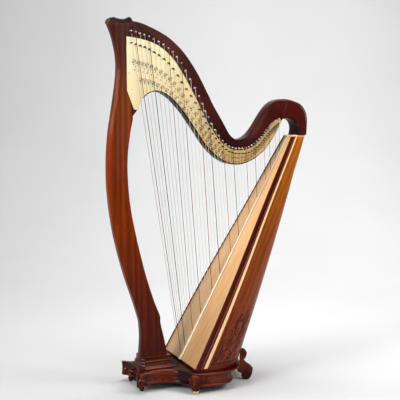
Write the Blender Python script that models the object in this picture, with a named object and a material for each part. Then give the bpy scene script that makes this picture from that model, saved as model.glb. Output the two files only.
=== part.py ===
"""Concert harp with a curved column, in metres, +Z up, the player at +X and the strings on -Y of the neck."""

import math

import bmesh
import bpy
import numpy as np
from mathutils import Matrix, Vector

GAP = 0.0003
CENTRE_SHIFT = -0.0004  # moves the finished harp so that its bounding box is centred on X = 0

# Neck and action, measured across the harp (Y)
NECK_NEAR = 0.0138
NECK_FAR = 0.0758
PLATE_THICK = 0.0022
STRING_Y = 0.0

# Soundboard plane: x = BOARD_X0 + (z - BOARD_Z0) * BOARD_LEAN
BOARD_X0 = -0.142
BOARD_Z0 = 0.177
BOARD_LEAN = 0.545
BOARD_BOTTOM = 0.112
BOARD_TOP = 1.245
BOARD_THICK = 0.006
RIB_WIDTH = 0.026
RIB_THICK = 0.007

STRINGS = 47
WOUND_STRINGS = 12
FIRST_ACTION_STRING = 8
NATURAL_SHARE = 0.0561
SHARP_SHARE = 0.109

# Base
BASE_BOTTOM = 0.028
BASE_TOP = 0.100
PEDAL_PIVOT = Vector((0.020, 0.0, 0.048))
SHAFT_HALF = 0.182

HARP = bpy.data.collections.new("concert_harp")
CUTTERS = bpy.data.collections.new("cutters")

COLOURS = {
    "neck_wood": ((0.10, 0.022, 0.014), 0.0, 0.25),
    "column_wood": ((0.26, 0.075, 0.025), 0.0, 0.28),
    "body_wood": ((0.30, 0.10, 0.040), 0.0, 0.28),
    "base_wood": ((0.13, 0.032, 0.018), 0.0, 0.30),
    "spruce": ((0.62, 0.34, 0.14), 0.0, 0.35),
    "maple": ((0.78, 0.55, 0.30), 0.0, 0.35),
    "brass": ((0.85, 0.66, 0.34), 1.0, 0.28),
    "steel": ((0.62, 0.62, 0.62), 1.0, 0.30),
    "wire": ((0.40, 0.36, 0.33), 1.0, 0.40),
    "gut": ((0.80, 0.74, 0.62), 0.0, 0.45),
    "felt": ((0.25, 0.02, 0.03), 0.0, 0.90),
}

# (z, front x, back x) of the column, top to bottom
COLUMN = [
    (1.796, -0.536, -0.415),
    (1.740, -0.514, -0.415),
    (1.665, -0.496, -0.415),
    (1.590, -0.490, -0.415),
    (1.505, -0.497, -0.415),
    (1.395, -0.514, -0.415),
    (1.340, -0.523, -0.415),
    (1.270, -0.535, -0.429),
    (1.150, -0.546, -0.445),
    (1.020, -0.547, -0.445),
    (0.895, -0.537, -0.433),
    (0.770, -0.518, -0.410),
    (0.650, -0.491, -0.383),
    (0.535, -0.458, -0.353),
    (0.425, -0.422, -0.318),
    (0.350, -0.400, -0.289),
    (0.312, -0.392, -0.286),
    (0.240, -0.389, -0.270),
    (0.1525, -0.396, -0.252),
]
COLUMN_HALF = 0.031
COLUMN_TOP_Y = 0.0448
COLUMN_FOOT_Y = 0.012

# (upper x, upper z, lower x, lower z) across the neck, from the column to the shoulder
NECK = [
    (-0.4147, 1.811, -0.4147, 1.353),
    (-0.385, 1.807, -0.392, 1.385),
    (-0.350, 1.797, -0.370, 1.430),
    (-0.310, 1.781, -0.335, 1.461),
    (-0.270, 1.763, -0.300, 1.473),
    (-0.230, 1.741, -0.270, 1.470),
    (-0.190, 1.711, -0.240, 1.456),
    (-0.150, 1.673, -0.210, 1.434),
    (-0.110, 1.623, -0.180, 1.404),
    (-0.070, 1.564, -0.150, 1.371),
    (-0.040, 1.512, -0.120, 1.331),
    (-0.010, 1.455, -0.090, 1.289),
    (0.020, 1.400, -0.058, 1.243),
    (0.050, 1.352, -0.027, 1.201),
    (0.080, 1.303, 0.005, 1.167),
    (0.105, 1.262, 0.040, 1.137),
    (0.128, 1.240, 0.080, 1.114),
    (0.150, 1.233, 0.120, 1.103),
    (0.172, 1.235, 0.160, 1.101),
    (0.195, 1.243, 0.200, 1.109),
    (0.220, 1.261, 0.240, 1.125),
    (0.246, 1.291, 0.275, 1.147),
    (0.272, 1.329, 0.308, 1.172),
    (0.300, 1.370, 0.338, 1.207),
    (0.330, 1.406, 0.365, 1.247),
    (0.366, 1.431, 0.388, 1.285),
    (0.405, 1.441, 0.403, 1.316),
    (0.442, 1.441, 0.415, 1.334),
    (0.480, 1.432, 0.434, 1.341),
    (0.514, 1.416, 0.455, 1.335),
    (0.535, 1.393, 0.470, 1.320),
    (0.545, 1.364, 0.477, 1.300),
    (0.547, 1.332, 0.476, 1.282),
    (0.541, 1.270, 0.468, 1.2505),
]
# (row, near y, far y) where the neck widens into the shoulder
SHOULDER = [
    (0, NECK_NEAR, NECK_FAR),
    (27, NECK_NEAR, NECK_FAR),
    (28, 0.004, 0.074),
    (29, -0.010, 0.071),
    (31, -0.032, 0.064),
    (33, -0.050, 0.056),
]

PLATE_UPPER = [
    (-0.446, 1.735), (-0.390, 1.728), (-0.330, 1.715), (-0.280, 1.694), (-0.235, 1.662),
    (-0.190, 1.615), (-0.130, 1.523), (-0.070, 1.417), (-0.040, 1.357), (0.000, 1.292),
    (0.045, 1.231), (0.100, 1.189), (0.155, 1.175), (0.215, 1.183), (0.265, 1.212),
    (0.310, 1.257), (0.355, 1.312), (0.396, 1.343),
]
PLATE_LOWER = [
    (0.404, 1.328), (0.391, 1.300), (0.352, 1.236), (0.315, 1.184), (0.270, 1.150),
    (0.235, 1.131), (0.200, 1.116), (0.150, 1.108), (0.103, 1.113), (0.040, 1.145),
    (-0.027, 1.208), (-0.090, 1.296), (-0.152, 1.380), (-0.200, 1.431), (-0.245, 1.464),
    (-0.290, 1.478), (-0.330, 1.470), (-0.358, 1.450), (-0.380, 1.412), (-0.393, 1.382),
]
PLATE_HEEL = [(-0.412, 1.384), (-0.447, 1.478)]

# (string, x, z) of the tuning pins and of the nuts, and (string, z) on the soundboard
PINS = [
    (1, -0.428, 1.761), (5, -0.338, 1.737), (9, -0.237, 1.684), (12, -0.169, 1.613),
    (16, -0.072, 1.451), (19, -0.022, 1.345), (23, 0.057, 1.227), (26, 0.114, 1.190),
    (30, 0.192, 1.188), (33, 0.242, 1.210), (36, 0.282, 1.243), (40, 0.322, 1.291),
    (43, 0.346, 1.315), (47, 0.378, 1.336),
]
NUTS = [
    (1, -0.424, 1.705), (5, -0.331, 1.677), (9, -0.230, 1.612), (12, -0.160, 1.520),
    (16, -0.064, 1.385), (19, -0.012, 1.288), (23, 0.064, 1.197), (26, 0.119, 1.164),
    (30, 0.195, 1.160), (33, 0.245, 1.181), (36, 0.286, 1.213), (40, 0.327, 1.260),
    (43, 0.352, 1.285), (47, 0.385, 1.313),
]
FEET_OF_STRINGS = [
    (1, 0.128), (5, 0.180), (9, 0.257), (13, 0.370), (17, 0.485), (20, 0.568), (23, 0.652),
    (26, 0.735), (28, 0.790), (33, 0.930), (36, 1.000), (40, 1.075), (43, 1.118), (47, 1.170),
]

# (z, half width of the soundboard, back x of the body)
BODY = [
    (1.250, 0.042, 0.529),
    (1.150, 0.059, 0.498),
    (1.050, 0.074, 0.465),
    (0.930, 0.092, 0.426),
    (0.780, 0.119, 0.374),
    (0.640, 0.145, 0.323),
    (0.500, 0.169, 0.271),
    (0.360, 0.188, 0.220),
    (0.230, 0.202, 0.171),
    (0.112, 0.211, 0.127),
]
SHELL_WALL = 0.009
STRIP_DEPTH = (0.0245, 0.054)  # depth of the straight side at the top and at the bottom
SOUND_HOLES = [
    (0.250, 0.075, 0.034),
    (0.430, 0.070, 0.032),
    (0.610, 0.065, 0.029),
    (0.790, 0.058, 0.025),
    (0.960, 0.050, 0.021),
]

# (x, y) of the +Y half of the base's plan, front to back: concave front, horn, waist, round back
BASE_PLAN = [
    (-0.414, 0.0), (-0.416, 0.030), (-0.424, 0.066), (-0.438, 0.098), (-0.452, 0.112),
    (-0.446, 0.124), (-0.404, 0.114), (-0.344, 0.105), (-0.296, 0.112), (-0.252, 0.140),
    (-0.224, 0.182), (-0.202, 0.220), (-0.168, 0.240), (-0.100, 0.248), (-0.030, 0.246),
    (0.022, 0.230), (0.058, 0.198), (0.086, 0.150), (0.110, 0.095), (0.128, 0.045),
    (0.134, 0.0),
]
BASE_HOLLOW = [
    (-0.330, 0.0), (-0.330, 0.075), (-0.280, 0.090), (-0.235, 0.130), (-0.190, 0.190),
    (-0.110, 0.212), (-0.040, 0.208), (0.005, 0.185), (0.035, 0.140), (0.055, 0.075), (0.064, 0.0),
]
BASE_TUCK = (-0.050, 0.72)  # the base's walls are drawn in behind this x, to this share

# (place, x, y, turn, size) of the bracket feet under the base
FEET = [
    ("front", -0.416, 0.086, math.radians(158), 0.034),
    ("middle", -0.187, 0.228, math.radians(100), 0.040),
]
# Rear feet: a point and the outward direction on the base's rear quarter, and (out, z) of the scroll
REAR_FOOT = Vector((0.117, 0.098, 0.0))
REAR_NORMAL = Vector((0.866, 0.500, 0.0))
REAR_HALF = 0.013
REAR_GLIDE = 0.030
REAR_SCROLL = [
    (0.0023, 0.106), (0.0023, 0.122), (0.0050, 0.142), (0.0120, 0.1545), (0.0220, 0.148),
    (0.0300, 0.133), (0.0255, 0.117), (0.0155, 0.103), (0.0210, 0.089), (0.0430, 0.074),
    (0.0585, 0.058), (0.0605, 0.043), (0.0530, 0.020), (0.0400, 0.006), (0.0200, 0.006),
    (0.0105, 0.017), (0.0100, 0.034), (-0.0060, 0.042), (-0.0100, 0.054), (0.0023, 0.080),
]

# (letter, y, length from the shaft to the tip)
PEDALS = [
    ("d", -0.072, 0.150), ("c", -0.048, 0.155), ("b", -0.024, 0.160), ("e", 0.000, 0.162),
    ("f", 0.024, 0.160), ("g", 0.048, 0.155), ("a", 0.072, 0.150),
]


def clear_scene():
    for obj in list(bpy.data.objects):
        bpy.data.objects.remove(obj, do_unlink=True)
    scene = bpy.context.scene
    scene.collection.children.link(HARP)
    scene.collection.children.link(CUTTERS)
    CUTTERS.hide_render = True


def material(slot):
    found = bpy.data.materials.get(slot)
    if found:
        return found
    colour, metal, rough = COLOURS[slot]
    made = bpy.data.materials.new(slot)
    made.use_nodes = True
    shader = made.node_tree.nodes["Principled BSDF"]
    shader.inputs["Base Color"].default_value = (*colour, 1.0)
    shader.inputs["Metallic"].default_value = metal
    shader.inputs["Roughness"].default_value = rough
    made.diffuse_color = (*colour, 1.0)
    return made


def add_mesh(name, points, faces, slot=None):
    """One closed mesh, faces out. Without a slot it is a cutter."""
    mesh = bpy.data.meshes.new(name)
    mesh.from_pydata([tuple(p) for p in points], [], faces)
    work = bmesh.new()
    work.from_mesh(mesh)
    bmesh.ops.remove_doubles(work, verts=work.verts, dist=1e-6)
    bmesh.ops.recalc_face_normals(work, faces=work.faces)
    if work.calc_volume(signed=True) < 0:
        bmesh.ops.reverse_faces(work, faces=work.faces)
    bmesh.ops.triangulate(work, faces=[f for f in work.faces if len(f.verts) > 4])
    work.to_mesh(mesh)
    work.free()
    obj = bpy.data.objects.new(name, mesh)
    if slot:
        mesh.materials.append(material(slot))
        HARP.objects.link(obj)
    else:
        obj.hide_render = True
        obj.display_type = "WIRE"
        CUTTERS.objects.link(obj)
    return obj


def loft(name, rings, slot=None):
    """A body through rings of equal length, closed by a cap at each end."""
    count = len(rings[0])
    points = [p for ring in rings for p in ring]
    faces = []
    for row in range(len(rings) - 1):
        for i in range(count):
            j = (i + 1) % count
            a = row * count
            faces.append((a + i, a + j, a + count + j, a + count + i))
    faces.append(tuple(reversed(range(count))))
    last = (len(rings) - 1) * count
    faces.append(tuple(range(last, last + count)))
    return add_mesh(name, points, faces, slot)


def slab(name, outline, low, high, slot=None, axis="Z"):
    """A flat outline given thickness along Z (points are x, y) or along Y (points are x, z)."""
    if axis == "Z":
        rings = [[(x, y, level) for x, y in outline] for level in (low, high)]
    else:
        rings = [[(x, level, z) for x, z in outline] for level in (low, high)]
    return loft(name, rings, slot)


def rod(name, start, end, radius, sides, slot=None, end_radius=None):
    """A straight round bar between two points."""
    start, end = Vector(start), Vector(end)
    along = (end - start).normalized()
    side = along.orthogonal().normalized()
    other = along.cross(side)
    rings = []
    for centre, r in ((start, radius), (end, end_radius or radius)):
        turns = [2 * math.pi * i / sides for i in range(sides)]
        rings.append([centre + r * (math.cos(t) * side + math.sin(t) * other) for t in turns])
    return loft(name, rings, slot)


def box(name, low, high, slot=None):
    outline = [(low[0], low[1]), (high[0], low[1]), (high[0], high[1]), (low[0], high[1])]
    return slab(name, outline, low[2], high[2], slot)


def boolean(obj, other, operation):
    step = obj.modifiers.new(other.name, "BOOLEAN")
    step.operation = operation
    step.solver = "EXACT"
    step.object = other


def join(obj, others):
    for other in others:
        boolean(obj, other, "UNION")


def cut(obj, others):
    for other in others:
        boolean(obj, other, "DIFFERENCE")


def one_cutter(name, parts):
    """Several cutters that don't touch, made one object."""
    points, faces = [], []
    for part in parts:
        start = len(points)
        points += [v.co.copy() for v in part.data.vertices]
        faces += [tuple(start + k for k in f.vertices) for f in part.data.polygons]
        bpy.data.objects.remove(part, do_unlink=True)
    return add_mesh(name, points, faces)


def smooth(rows, per_step):
    """Rows of numbers with Catmull-Rom points put between them."""
    rows = np.array(rows, float)
    padded = np.vstack([2 * rows[0] - rows[1], rows, 2 * rows[-1] - rows[-2]])
    out = []
    for i in range(len(rows) - 1):
        a, b, c, d = padded[i : i + 4]
        for k in range(per_step):
            t = k / per_step
            out.append(
                0.5 * (2 * b + (c - a) * t + (2 * a - 5 * b + 4 * c - d) * t * t
                       + (3 * b - a - 3 * c + d) * t ** 3)
            )
    out.append(rows[-1])
    return out


def curve_at(table, key):
    """The smooth curve through a table's rows, read at a value of its first column."""
    rows = np.array(smooth(table, 8))
    order = np.argsort(rows[:, 0])
    rows = rows[order]
    return [float(np.interp(key, rows[:, 0], rows[:, c])) for c in range(1, rows.shape[1])]


def board_x(z):
    return BOARD_X0 + (z - BOARD_Z0) * BOARD_LEAN


def pin_point(i):
    x, z = curve_at(PINS, i)
    return Vector((x, STRING_Y, z))


def nut_point(i):
    x, z = curve_at(NUTS, i)
    return Vector((x, STRING_Y, z))


def foot_point(i):
    z = curve_at(FEET_OF_STRINGS, i)[0]
    return Vector((board_x(z) - RIB_THICK * 1.14 - 0.0018, STRING_Y, z))


def string_radius(i):
    if i <= WOUND_STRINGS:
        return 0.0011 - 0.00004 * i
    return 0.0010 - 0.000012 * i


def column_section(z, front, back):
    share = min(1.0, max(0.0, (z - 0.15) / (1.35 - 0.15)))
    middle = COLUMN_FOOT_Y + (COLUMN_TOP_Y - COLUMN_FOOT_Y) * share
    half = COLUMN_HALF
    face = 0.019
    depth = 0.016
    rear = 0.007
    return [
        (front, middle - face, z),
        (front + depth, middle - half, z),
        (back - rear, middle - half, z),
        (back, middle - half + rear, z),
        (back, middle + half - rear, z),
        (back - rear, middle + half, z),
        (front + depth, middle + half, z),
        (front, middle + face, z),
    ]


def build_column():
    rings = []
    for z, front, back in smooth(COLUMN, 2):
        rings.append(column_section(z, front, min(back, -0.415) if z > 1.33 else back))
    loft("column", rings, "column_wood")
    cap = [
        (-0.5390, 1.7965), (-0.5380, 1.811), (-0.5270, 1.8215), (-0.5080, 1.8250),
        (-0.4800, 1.8195), (-0.4550, 1.8190), (-0.4400, 1.8250), (-0.4290, 1.8300),
        (-0.4180, 1.8210), (-0.4155, 1.8110), (-0.4155, 1.7965),
    ]
    slab("column_cap", cap, 0.0105, 0.0795, "neck_wood", axis="Y")


def neck_section(row, values):
    rows, near, far = zip(*SHOULDER)
    y0 = float(np.interp(row, rows, near))
    y1 = float(np.interp(row, rows, far))
    upper = Vector((values[0], 0, values[1]))
    lower = Vector((values[2], 0, values[3]))
    up = (upper - lower).normalized()
    grow = min(1.0, max(0.0, (row - 25) / 6))
    ru = 0.007 + 0.020 * grow
    rl = 0.004 + 0.006 * grow
    cu, cl = 0.29 * ru, 0.29 * rl

    def at(base, along, y):
        p = base + up * along
        return (p.x, y, p.z)

    return [
        at(lower, rl, y0), at(upper, -ru, y0), at(upper, -cu, y0 + cu), at(upper, 0, y0 + ru),
        at(upper, 0, y1 - ru), at(upper, -cu, y1 - cu), at(upper, -ru, y1), at(lower, rl, y1),
        at(lower, cl, y1 - cl), at(lower, 0, y1 - rl), at(lower, 0, y0 + rl),
        at(lower, cl, y0 + cl),
    ]


def build_neck():
    rows = smooth([(i, *values) for i, values in enumerate(NECK)], 2)
    neck = loft("neck", [neck_section(r[0], r[1:]) for r in rows], "neck_wood")
    holes = []
    for i in action_strings():
        p = pin_point(i)
        holes.append(
            rod(f"pin_hole_{i}", (p.x, -0.02, p.z), (p.x, 0.11, p.z), 0.0042, 8)
        )
    cut(neck, [one_cutter("pin_holes", holes)])


def action_strings():
    return range(FIRST_ACTION_STRING, FIRST_ACTION_STRING + 7)


def plate_outline():
    upper = [tuple(p) for p in smooth(PLATE_UPPER, 2)]
    lower = [tuple(p) for p in smooth(PLATE_LOWER, 2)]
    return upper + lower + PLATE_HEEL


def disc_points(i):
    nut, foot = nut_point(i), foot_point(i)
    return nut.lerp(foot, NATURAL_SHARE), nut.lerp(foot, SHARP_SHARE)


def build_plates():
    face = NECK_NEAR - GAP
    near = slab("action_plate_near", plate_outline(), face - PLATE_THICK, face, "brass", "Y")
    holes = []
    for i in action_strings():
        for kind, p in zip(("natural", "sharp"), disc_points(i)):
            name = f"{kind}_hole_{i}"
            holes.append(rod(name, (p.x, 0, p.z), (p.x, 0.02, p.z), 0.0030, 8))
    cut(near, [one_cutter("plate_holes", holes)])
    back = NECK_FAR + GAP
    slab("action_plate_far", plate_outline(), back, back + PLATE_THICK, "brass", "Y")


def build_pin(i):
    p = pin_point(i)
    name = f"tuning_pin_{i}"
    pin = rod(name, (p.x, -0.009, p.z), (p.x, NECK_FAR + 0.010, p.z), 0.0036, 8, "steel")
    key = 0.0030
    head = box(
        f"{name}_square",
        (p.x - key, NECK_FAR + 0.008, p.z - key),
        (p.x + key, NECK_FAR + 0.022, p.z + key),
    )
    join(pin, [head])


def build_disc(i, kind, centre):
    """A fork disc: an arbor in the plate and two pins that stand on either side of the string."""
    front = NECK_NEAR - GAP - PLATE_THICK - GAP
    c = centre
    name = f"{kind}_disc_{i}"
    disc = rod(name, (c.x, front - 0.0022, c.z), (c.x, front, c.z), 0.0078, 14, "brass")
    arbor = rod(
        f"{name}_arbor", (c.x, front - 0.001, c.z), (c.x, NECK_NEAR - 0.0008, c.z), 0.0026, 8
    )
    others = [arbor]
    along = (foot_point(i) - nut_point(i)).normalized()
    for side in (-1, 1):
        p = c + along * 0.0052 * side
        start = (p.x, front - 0.001, p.z)
        others.append(rod(f"{name}_fork_{side}", start, (p.x, -0.0045, p.z), 0.0014, 6))
    join(disc, others)
    disc.data.transform(Matrix.Translation(-c))
    for other in others:
        other.data.transform(Matrix.Translation(-c))
        other.parent = disc
    disc.location = c
    turn = Matrix.Rotation(math.radians(90 - 22), 4, "Y")
    disc.data.transform(turn)
    for other in others:
        other.data.transform(turn)


def build_action():
    for i in action_strings():
        build_pin(i)
        natural, sharp = disc_points(i)
        build_disc(i, "natural", natural)
        build_disc(i, "sharp", sharp)


def side_depth(z):
    share = (z - BOARD_BOTTOM) / (BOARD_TOP - BOARD_BOTTOM)
    return STRIP_DEPTH[1] + (STRIP_DEPTH[0] - STRIP_DEPTH[1]) * share


def body_ring(z, inset, steps=18):
    """A level section of the body: flat front, straight sides, round back, drawn in by inset."""
    half, back = curve_at(BODY, z)
    front = board_x(z) + BOARD_THICK * 1.14 + GAP * 2
    start = front + side_depth(z)
    half -= inset
    ring = [(front, half, z)]
    for k in range(steps + 1):
        turn = math.pi / 2 - math.pi * k / steps
        depth = back - inset - start
        x = start + depth * max(0.0, math.cos(turn)) ** 0.86
        y = half * math.copysign(abs(math.sin(turn)) ** 0.94, math.sin(turn))
        ring.append((x, y, z))
    ring.append((front, -half, z))
    return ring


def build_body():
    levels = np.linspace(BOARD_TOP, BOARD_BOTTOM + 0.002, 18)
    shell = loft("soundbox", [body_ring(z, 0.0) for z in levels], "body_wood")
    inner = []
    for z in np.linspace(BOARD_TOP - 0.030, BOARD_BOTTOM + 0.020, 12):
        ring = body_ring(z, SHELL_WALL, 14)
        inner.append([(x - 0.05 if k in (0, len(ring) - 1) else x, y, zz)
                      for k, (x, y, zz) in enumerate(ring)])
    cavity = loft("soundbox_cavity", inner)
    cut(shell, [cavity])
    holes = []
    for z, tall, wide in SOUND_HOLES:
        back = curve_at(BODY, z)[1]
        turns = [2 * math.pi * k / 16 for k in range(16)]
        rings = []
        for x in (back - 0.09, back + 0.05):
            rings.append([(x, wide * math.cos(t), z + tall * math.sin(t)) for t in turns])
        holes.append(loft(f"sound_hole_{round(z * 1000)}", rings))
    cut(shell, [one_cutter("sound_holes", holes)])


def board_slab(name, low, high, half_low, half_high, front, back, slot):
    """A board lying along the soundboard's slope. Front and back are measured out of its plane."""
    rings = []
    for z, half in ((low, half_low), (high, half_high)):
        rings.append([
            (board_x(z) + front, -half, z), (board_x(z) + back, -half, z),
            (board_x(z) + back, half, z), (board_x(z) + front, half, z),
        ])
    return loft(name, rings, slot)


def build_board():
    rings = []
    for z in np.linspace(BOARD_BOTTOM, BOARD_TOP, 12):
        half = curve_at(BODY, z)[0]
        x = board_x(z)
        back = x + BOARD_THICK * 1.14
        rings.append([(x, -half, z), (back, -half, z), (back, half, z), (x, half, z)])
    loft("soundboard", rings, "spruce")
    half = RIB_WIDTH / 2
    rings = []
    front = RIB_THICK * 1.14 + GAP
    for z in (BOARD_BOTTOM + 0.001, BOARD_TOP - 0.002):
        x = board_x(z)
        w = half if z < 0.5 else half * 0.6
        rings.append([
            (x - GAP, -w, z), (x - front + 0.002, -w, z), (x - front, -w + 0.003, z),
            (x - front, w - 0.003, z), (x - front + 0.002, w, z), (x - GAP, w, z),
        ])
    loft("string_rib", rings, "maple")


def build_collar():
    outer = []
    for z in (BOARD_TOP + GAP, BOARD_TOP + 0.0045):
        ring = body_ring(z, -0.0025)
        outer.append([(x - (0.012 if k in (0, len(ring) - 1) else 0), y, zz)
                      for k, (x, y, zz) in enumerate(ring)])
    loft("shoulder_collar", outer, "maple")


def build_edges():
    """The pale moulding along each side of the body, behind the soundboard's edge."""
    for name, side in (("edge_moulding_near", -1), ("edge_moulding_far", 1)):
        rings = []
        for z in np.linspace(BOARD_BOTTOM + 0.004, BOARD_TOP - 0.003, 12):
            half = curve_at(BODY, z)[0] + GAP
            depth = side_depth(z)
            front = board_x(z) + BOARD_THICK * 1.14
            ring = [(front + 0.63 * depth, side * half), (front + 0.98 * depth, side * half)]
            ring += [(front + 0.96 * depth, side * (half + 0.003)),
                     (front + 0.65 * depth, side * (half + 0.003))]
            rings.append([(x, y, z) for x, y in ring])
        loft(name, rings, "maple")


def mirrored(half):
    """A closed plan outline from the points of its +Y half, front to back."""
    return half + [(x, -y) for x, y in reversed(half[1:-1])]


def drawn_in(ring, inset):
    points = [Vector(p) for p in ring]
    out = []
    for k, p in enumerate(points):
        before, after = points[k - 1], points[(k + 1) % len(points)]
        along = (after - before).normalized()
        out.append((p.x + along.y * inset, p.y - along.x * inset))
    return out


def tucked(ring, share):
    """A plan outline with its rear drawn in, so that the walls stand back under the top."""
    start, keep = BASE_TUCK
    keep = 1 - (1 - keep) * share
    return [(start + (x - start) * keep if x > start else x, y) for x, y in ring]


def build_base():
    levels = [
        (BASE_BOTTOM, 0.008, 1.0), (0.034, 0.004, 1.0), (0.040, 0.000, 1.0), (0.046, 0.001, 1.0),
        (0.050, 0.007, 1.0), (0.078, 0.009, 1.0), (0.084, 0.004, 0.6), (0.092, -0.002, 0.0),
        (0.097, -0.002, 0.0), (BASE_TOP, 0.001, 0.0),
    ]
    plan = mirrored(BASE_PLAN)
    rings = []
    for z, inset, tuck in levels:
        rings.append([(x, y, z) for x, y in drawn_in(tucked(plan, tuck), inset)])
    base = loft("base", rings, "base_wood")
    hollow = mirrored(BASE_HOLLOW)
    cavity = slab("base_cavity", hollow, 0.0, BASE_TOP - 0.014)
    slots = [
        box(f"pedal_slot_{k}", (-0.01, y - 0.0065, 0.010), (0.25, y + 0.0065, 0.072))
        for k, y, _ in PEDALS
    ]
    join(cavity, slots)
    x, z = PEDAL_PIVOT.x, PEDAL_PIVOT.z
    reach = SHAFT_HALF + 0.001
    bearing = rod("shaft_bearing", (x, -reach, z), (x, reach, z), 0.0050, 10)
    cut(base, [cavity, bearing])
    slab("base_underplate", drawn_in(hollow, 0.0006), BASE_BOTTOM + GAP, BASE_BOTTOM + 0.0043,
         "base_wood")


def build_plinth():
    half = 0.050
    levels = [
        (BASE_TOP + GAP, 0.036), (0.1035, 0.034), (0.108, 0.024), (0.114, 0.018), (0.121, 0.016),
        (0.124, 0.008), (0.133, 0.006), (0.138, 0.0), (0.146, 0.001), (0.149, 0.005),
        (0.1522, 0.006),
    ]
    rings = []
    for z, out in levels:
        x0, x1 = -0.398 - out * 0.3, -0.250 + out
        y0, y1 = COLUMN_FOOT_Y - half - out, COLUMN_FOOT_Y + half + out
        c = 0.018
        rings.append([
            (x0 + c, y0, z), (x1, y0, z), (x1, y1, z), (x0 + c, y1, z), (x0, y1 - c, z),
            (x0, y0 + c, z),
        ])
    loft("column_plinth", rings, "base_wood")


def scroll_foot(name, x, y, turn, size, drop, slot):
    """A carved bracket foot: an S outline with thickness, turned to face outwards."""
    outline = [
        (-0.55, 1.00), (0.40, 1.00), (0.62, 0.86), (0.60, 0.66), (0.42, 0.52), (0.40, 0.36),
        (0.62, 0.30), (0.80, 0.18), (0.78, 0.04), (0.60, 0.00), (0.10, 0.00), (-0.15, 0.12),
        (-0.30, 0.38), (-0.55, 0.60),
    ]
    half = size * 0.42
    points = []
    for side in (-half, half):
        for u, v in outline:
            p = Vector((u * size, side * (0.72 if v < 0.1 else 1.0), 0))
            p.rotate(Matrix.Rotation(turn, 3, "Z"))
            points.append((x + p.x, y + p.y, 0.006 + v * drop))
    count = len(outline)
    faces = [tuple(range(count)), tuple(reversed(range(count, 2 * count)))]
    faces += [(i, (i + 1) % count, count + (i + 1) % count, count + i) for i in range(count)]
    return add_mesh(name, points, faces, slot)


def rear_foot(name, side):
    """A tall S scroll standing against the base, square to its rear quarter."""
    outward = Vector((REAR_NORMAL.x, side * REAR_NORMAL.y, 0))
    across = Vector((-outward.y, outward.x, 0))
    origin = Vector((REAR_FOOT.x, side * REAR_FOOT.y, 0))
    rings = []
    for half in (-REAR_HALF, REAR_HALF):
        rings.append([origin + outward * u + across * half + Vector((0, 0, z))
                      for u, z in REAR_SCROLL])
    loft(name, rings, "base_wood")


def glide(name, x, y):
    rod(name, (x, y, 0.0), (x, y, 0.006 - GAP), 0.011, 12, "brass", 0.013)


def build_feet():
    drop = BASE_BOTTOM - GAP - 0.006
    for place, x, y, turn, size in FEET:
        for name, side in (("near", -1), ("far", 1)):
            scroll_foot(f"foot_{place}_{name}", x, side * y, side * turn, size, drop, "base_wood")
            glide(f"glide_{place}_{name}", x, side * y)
    for name, side in (("near", -1), ("far", 1)):
        rear_foot(f"foot_rear_{name}", side)
        p = REAR_FOOT + REAR_NORMAL * REAR_GLIDE
        glide(f"glide_rear_{name}", p.x, side * p.y)


def build_pedals():
    """Seven pedals on one shaft across the base, each arm leaving through its own slot."""
    for letter, y, tip in PEDALS:
        name = f"pedal_{letter}"
        arm = [
            (-0.022, 0.009), (-0.022, -0.007), (0.010, -0.009), (tip - 0.050, -0.006),
            (tip, -0.004), (tip + 0.006, 0.002), (tip, 0.009), (tip - 0.050, 0.010),
            (0.010, 0.009),
        ]
        points = [(x, z) for x, z in arm]
        pedal = slab(name, points, -0.0045, 0.0045, "brass", axis="Y")
        pad = slab(f"{name}_pad",
                   [(tip - 0.040, -0.0095), (tip - 0.008, -0.0100), (tip + 0.004, -0.005),
                    (tip + 0.004, 0.005), (tip - 0.008, 0.0100), (tip - 0.040, 0.0095)],
                   -0.0060, 0.0080)
        bore = rod(f"{name}_bore", (0, -0.02, 0), (0, 0.02, 0), 0.0050, 10)
        join(pedal, [pad])
        cut(pedal, [bore])
        for part in (pad, bore):
            part.parent = pedal
        pedal.location = (PEDAL_PIVOT.x, y, PEDAL_PIVOT.z)
    x, z = PEDAL_PIVOT.x, PEDAL_PIVOT.z
    rod("pedal_shaft", (x, -SHAFT_HALF, z), (x, SHAFT_HALF, z), 0.0046, 10, "steel")


def string_piece(i):
    """One string: down from its tuning pin, over the nut, and straight on to its eyelet."""
    nut, foot, pin = nut_point(i), foot_point(i), pin_point(i)
    down = (foot - nut).normalized()
    radius = string_radius(i)
    rings = []
    for p in (pin - Vector((0, 0, 0.006)), nut, foot + down * 0.0005):
        turns = [2 * math.pi * k / 5 for k in range(5)]
        rings.append([(p.x + radius * math.cos(t), p.y + radius * math.sin(t), p.z) for t in turns])
    return loft(f"string_part_{i}", rings)


def build_strings():
    """Strings with the eyelet strip they pass through, one node for each kind."""
    kinds = [
        ("wire_strings", 1, WOUND_STRINGS, "wire"),
        ("gut_strings_low", WOUND_STRINGS + 1, 30, "gut"),
        ("gut_strings_high", 31, STRINGS, "gut"),
    ]
    for name, first, last, slot in kinds:
        low, high = foot_point(first).z - 0.006, foot_point(last).z + 0.006
        offset = RIB_THICK * 1.14 + GAP * 2
        rings = []
        for z in (low, high):
            x = board_x(z) - offset
            rings.append([(x, -0.003, z), (x - 0.0016, -0.003, z),
                          (x - 0.0016, 0.003, z), (x, 0.003, z)])
        strip = loft(name, rings, slot)
        join(strip, [string_piece(i) for i in range(first, last + 1)])


def build_riser():
    """The panel that closes the body under the soundboard's lower edge."""
    z0, z1 = BASE_TOP + GAP, BOARD_BOTTOM - GAP
    low = body_ring(BOARD_BOTTOM + 0.002, 0.004)
    rings = [[(x, y, z) for x, y, _ in low] for z in (z0, z1 + 0.0015)]
    loft("body_riser", rings, "base_wood")


def centre():
    for obj in list(HARP.objects) + list(CUTTERS.objects):
        if obj.parent is None:
            obj.location.x += CENTRE_SHIFT


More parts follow.
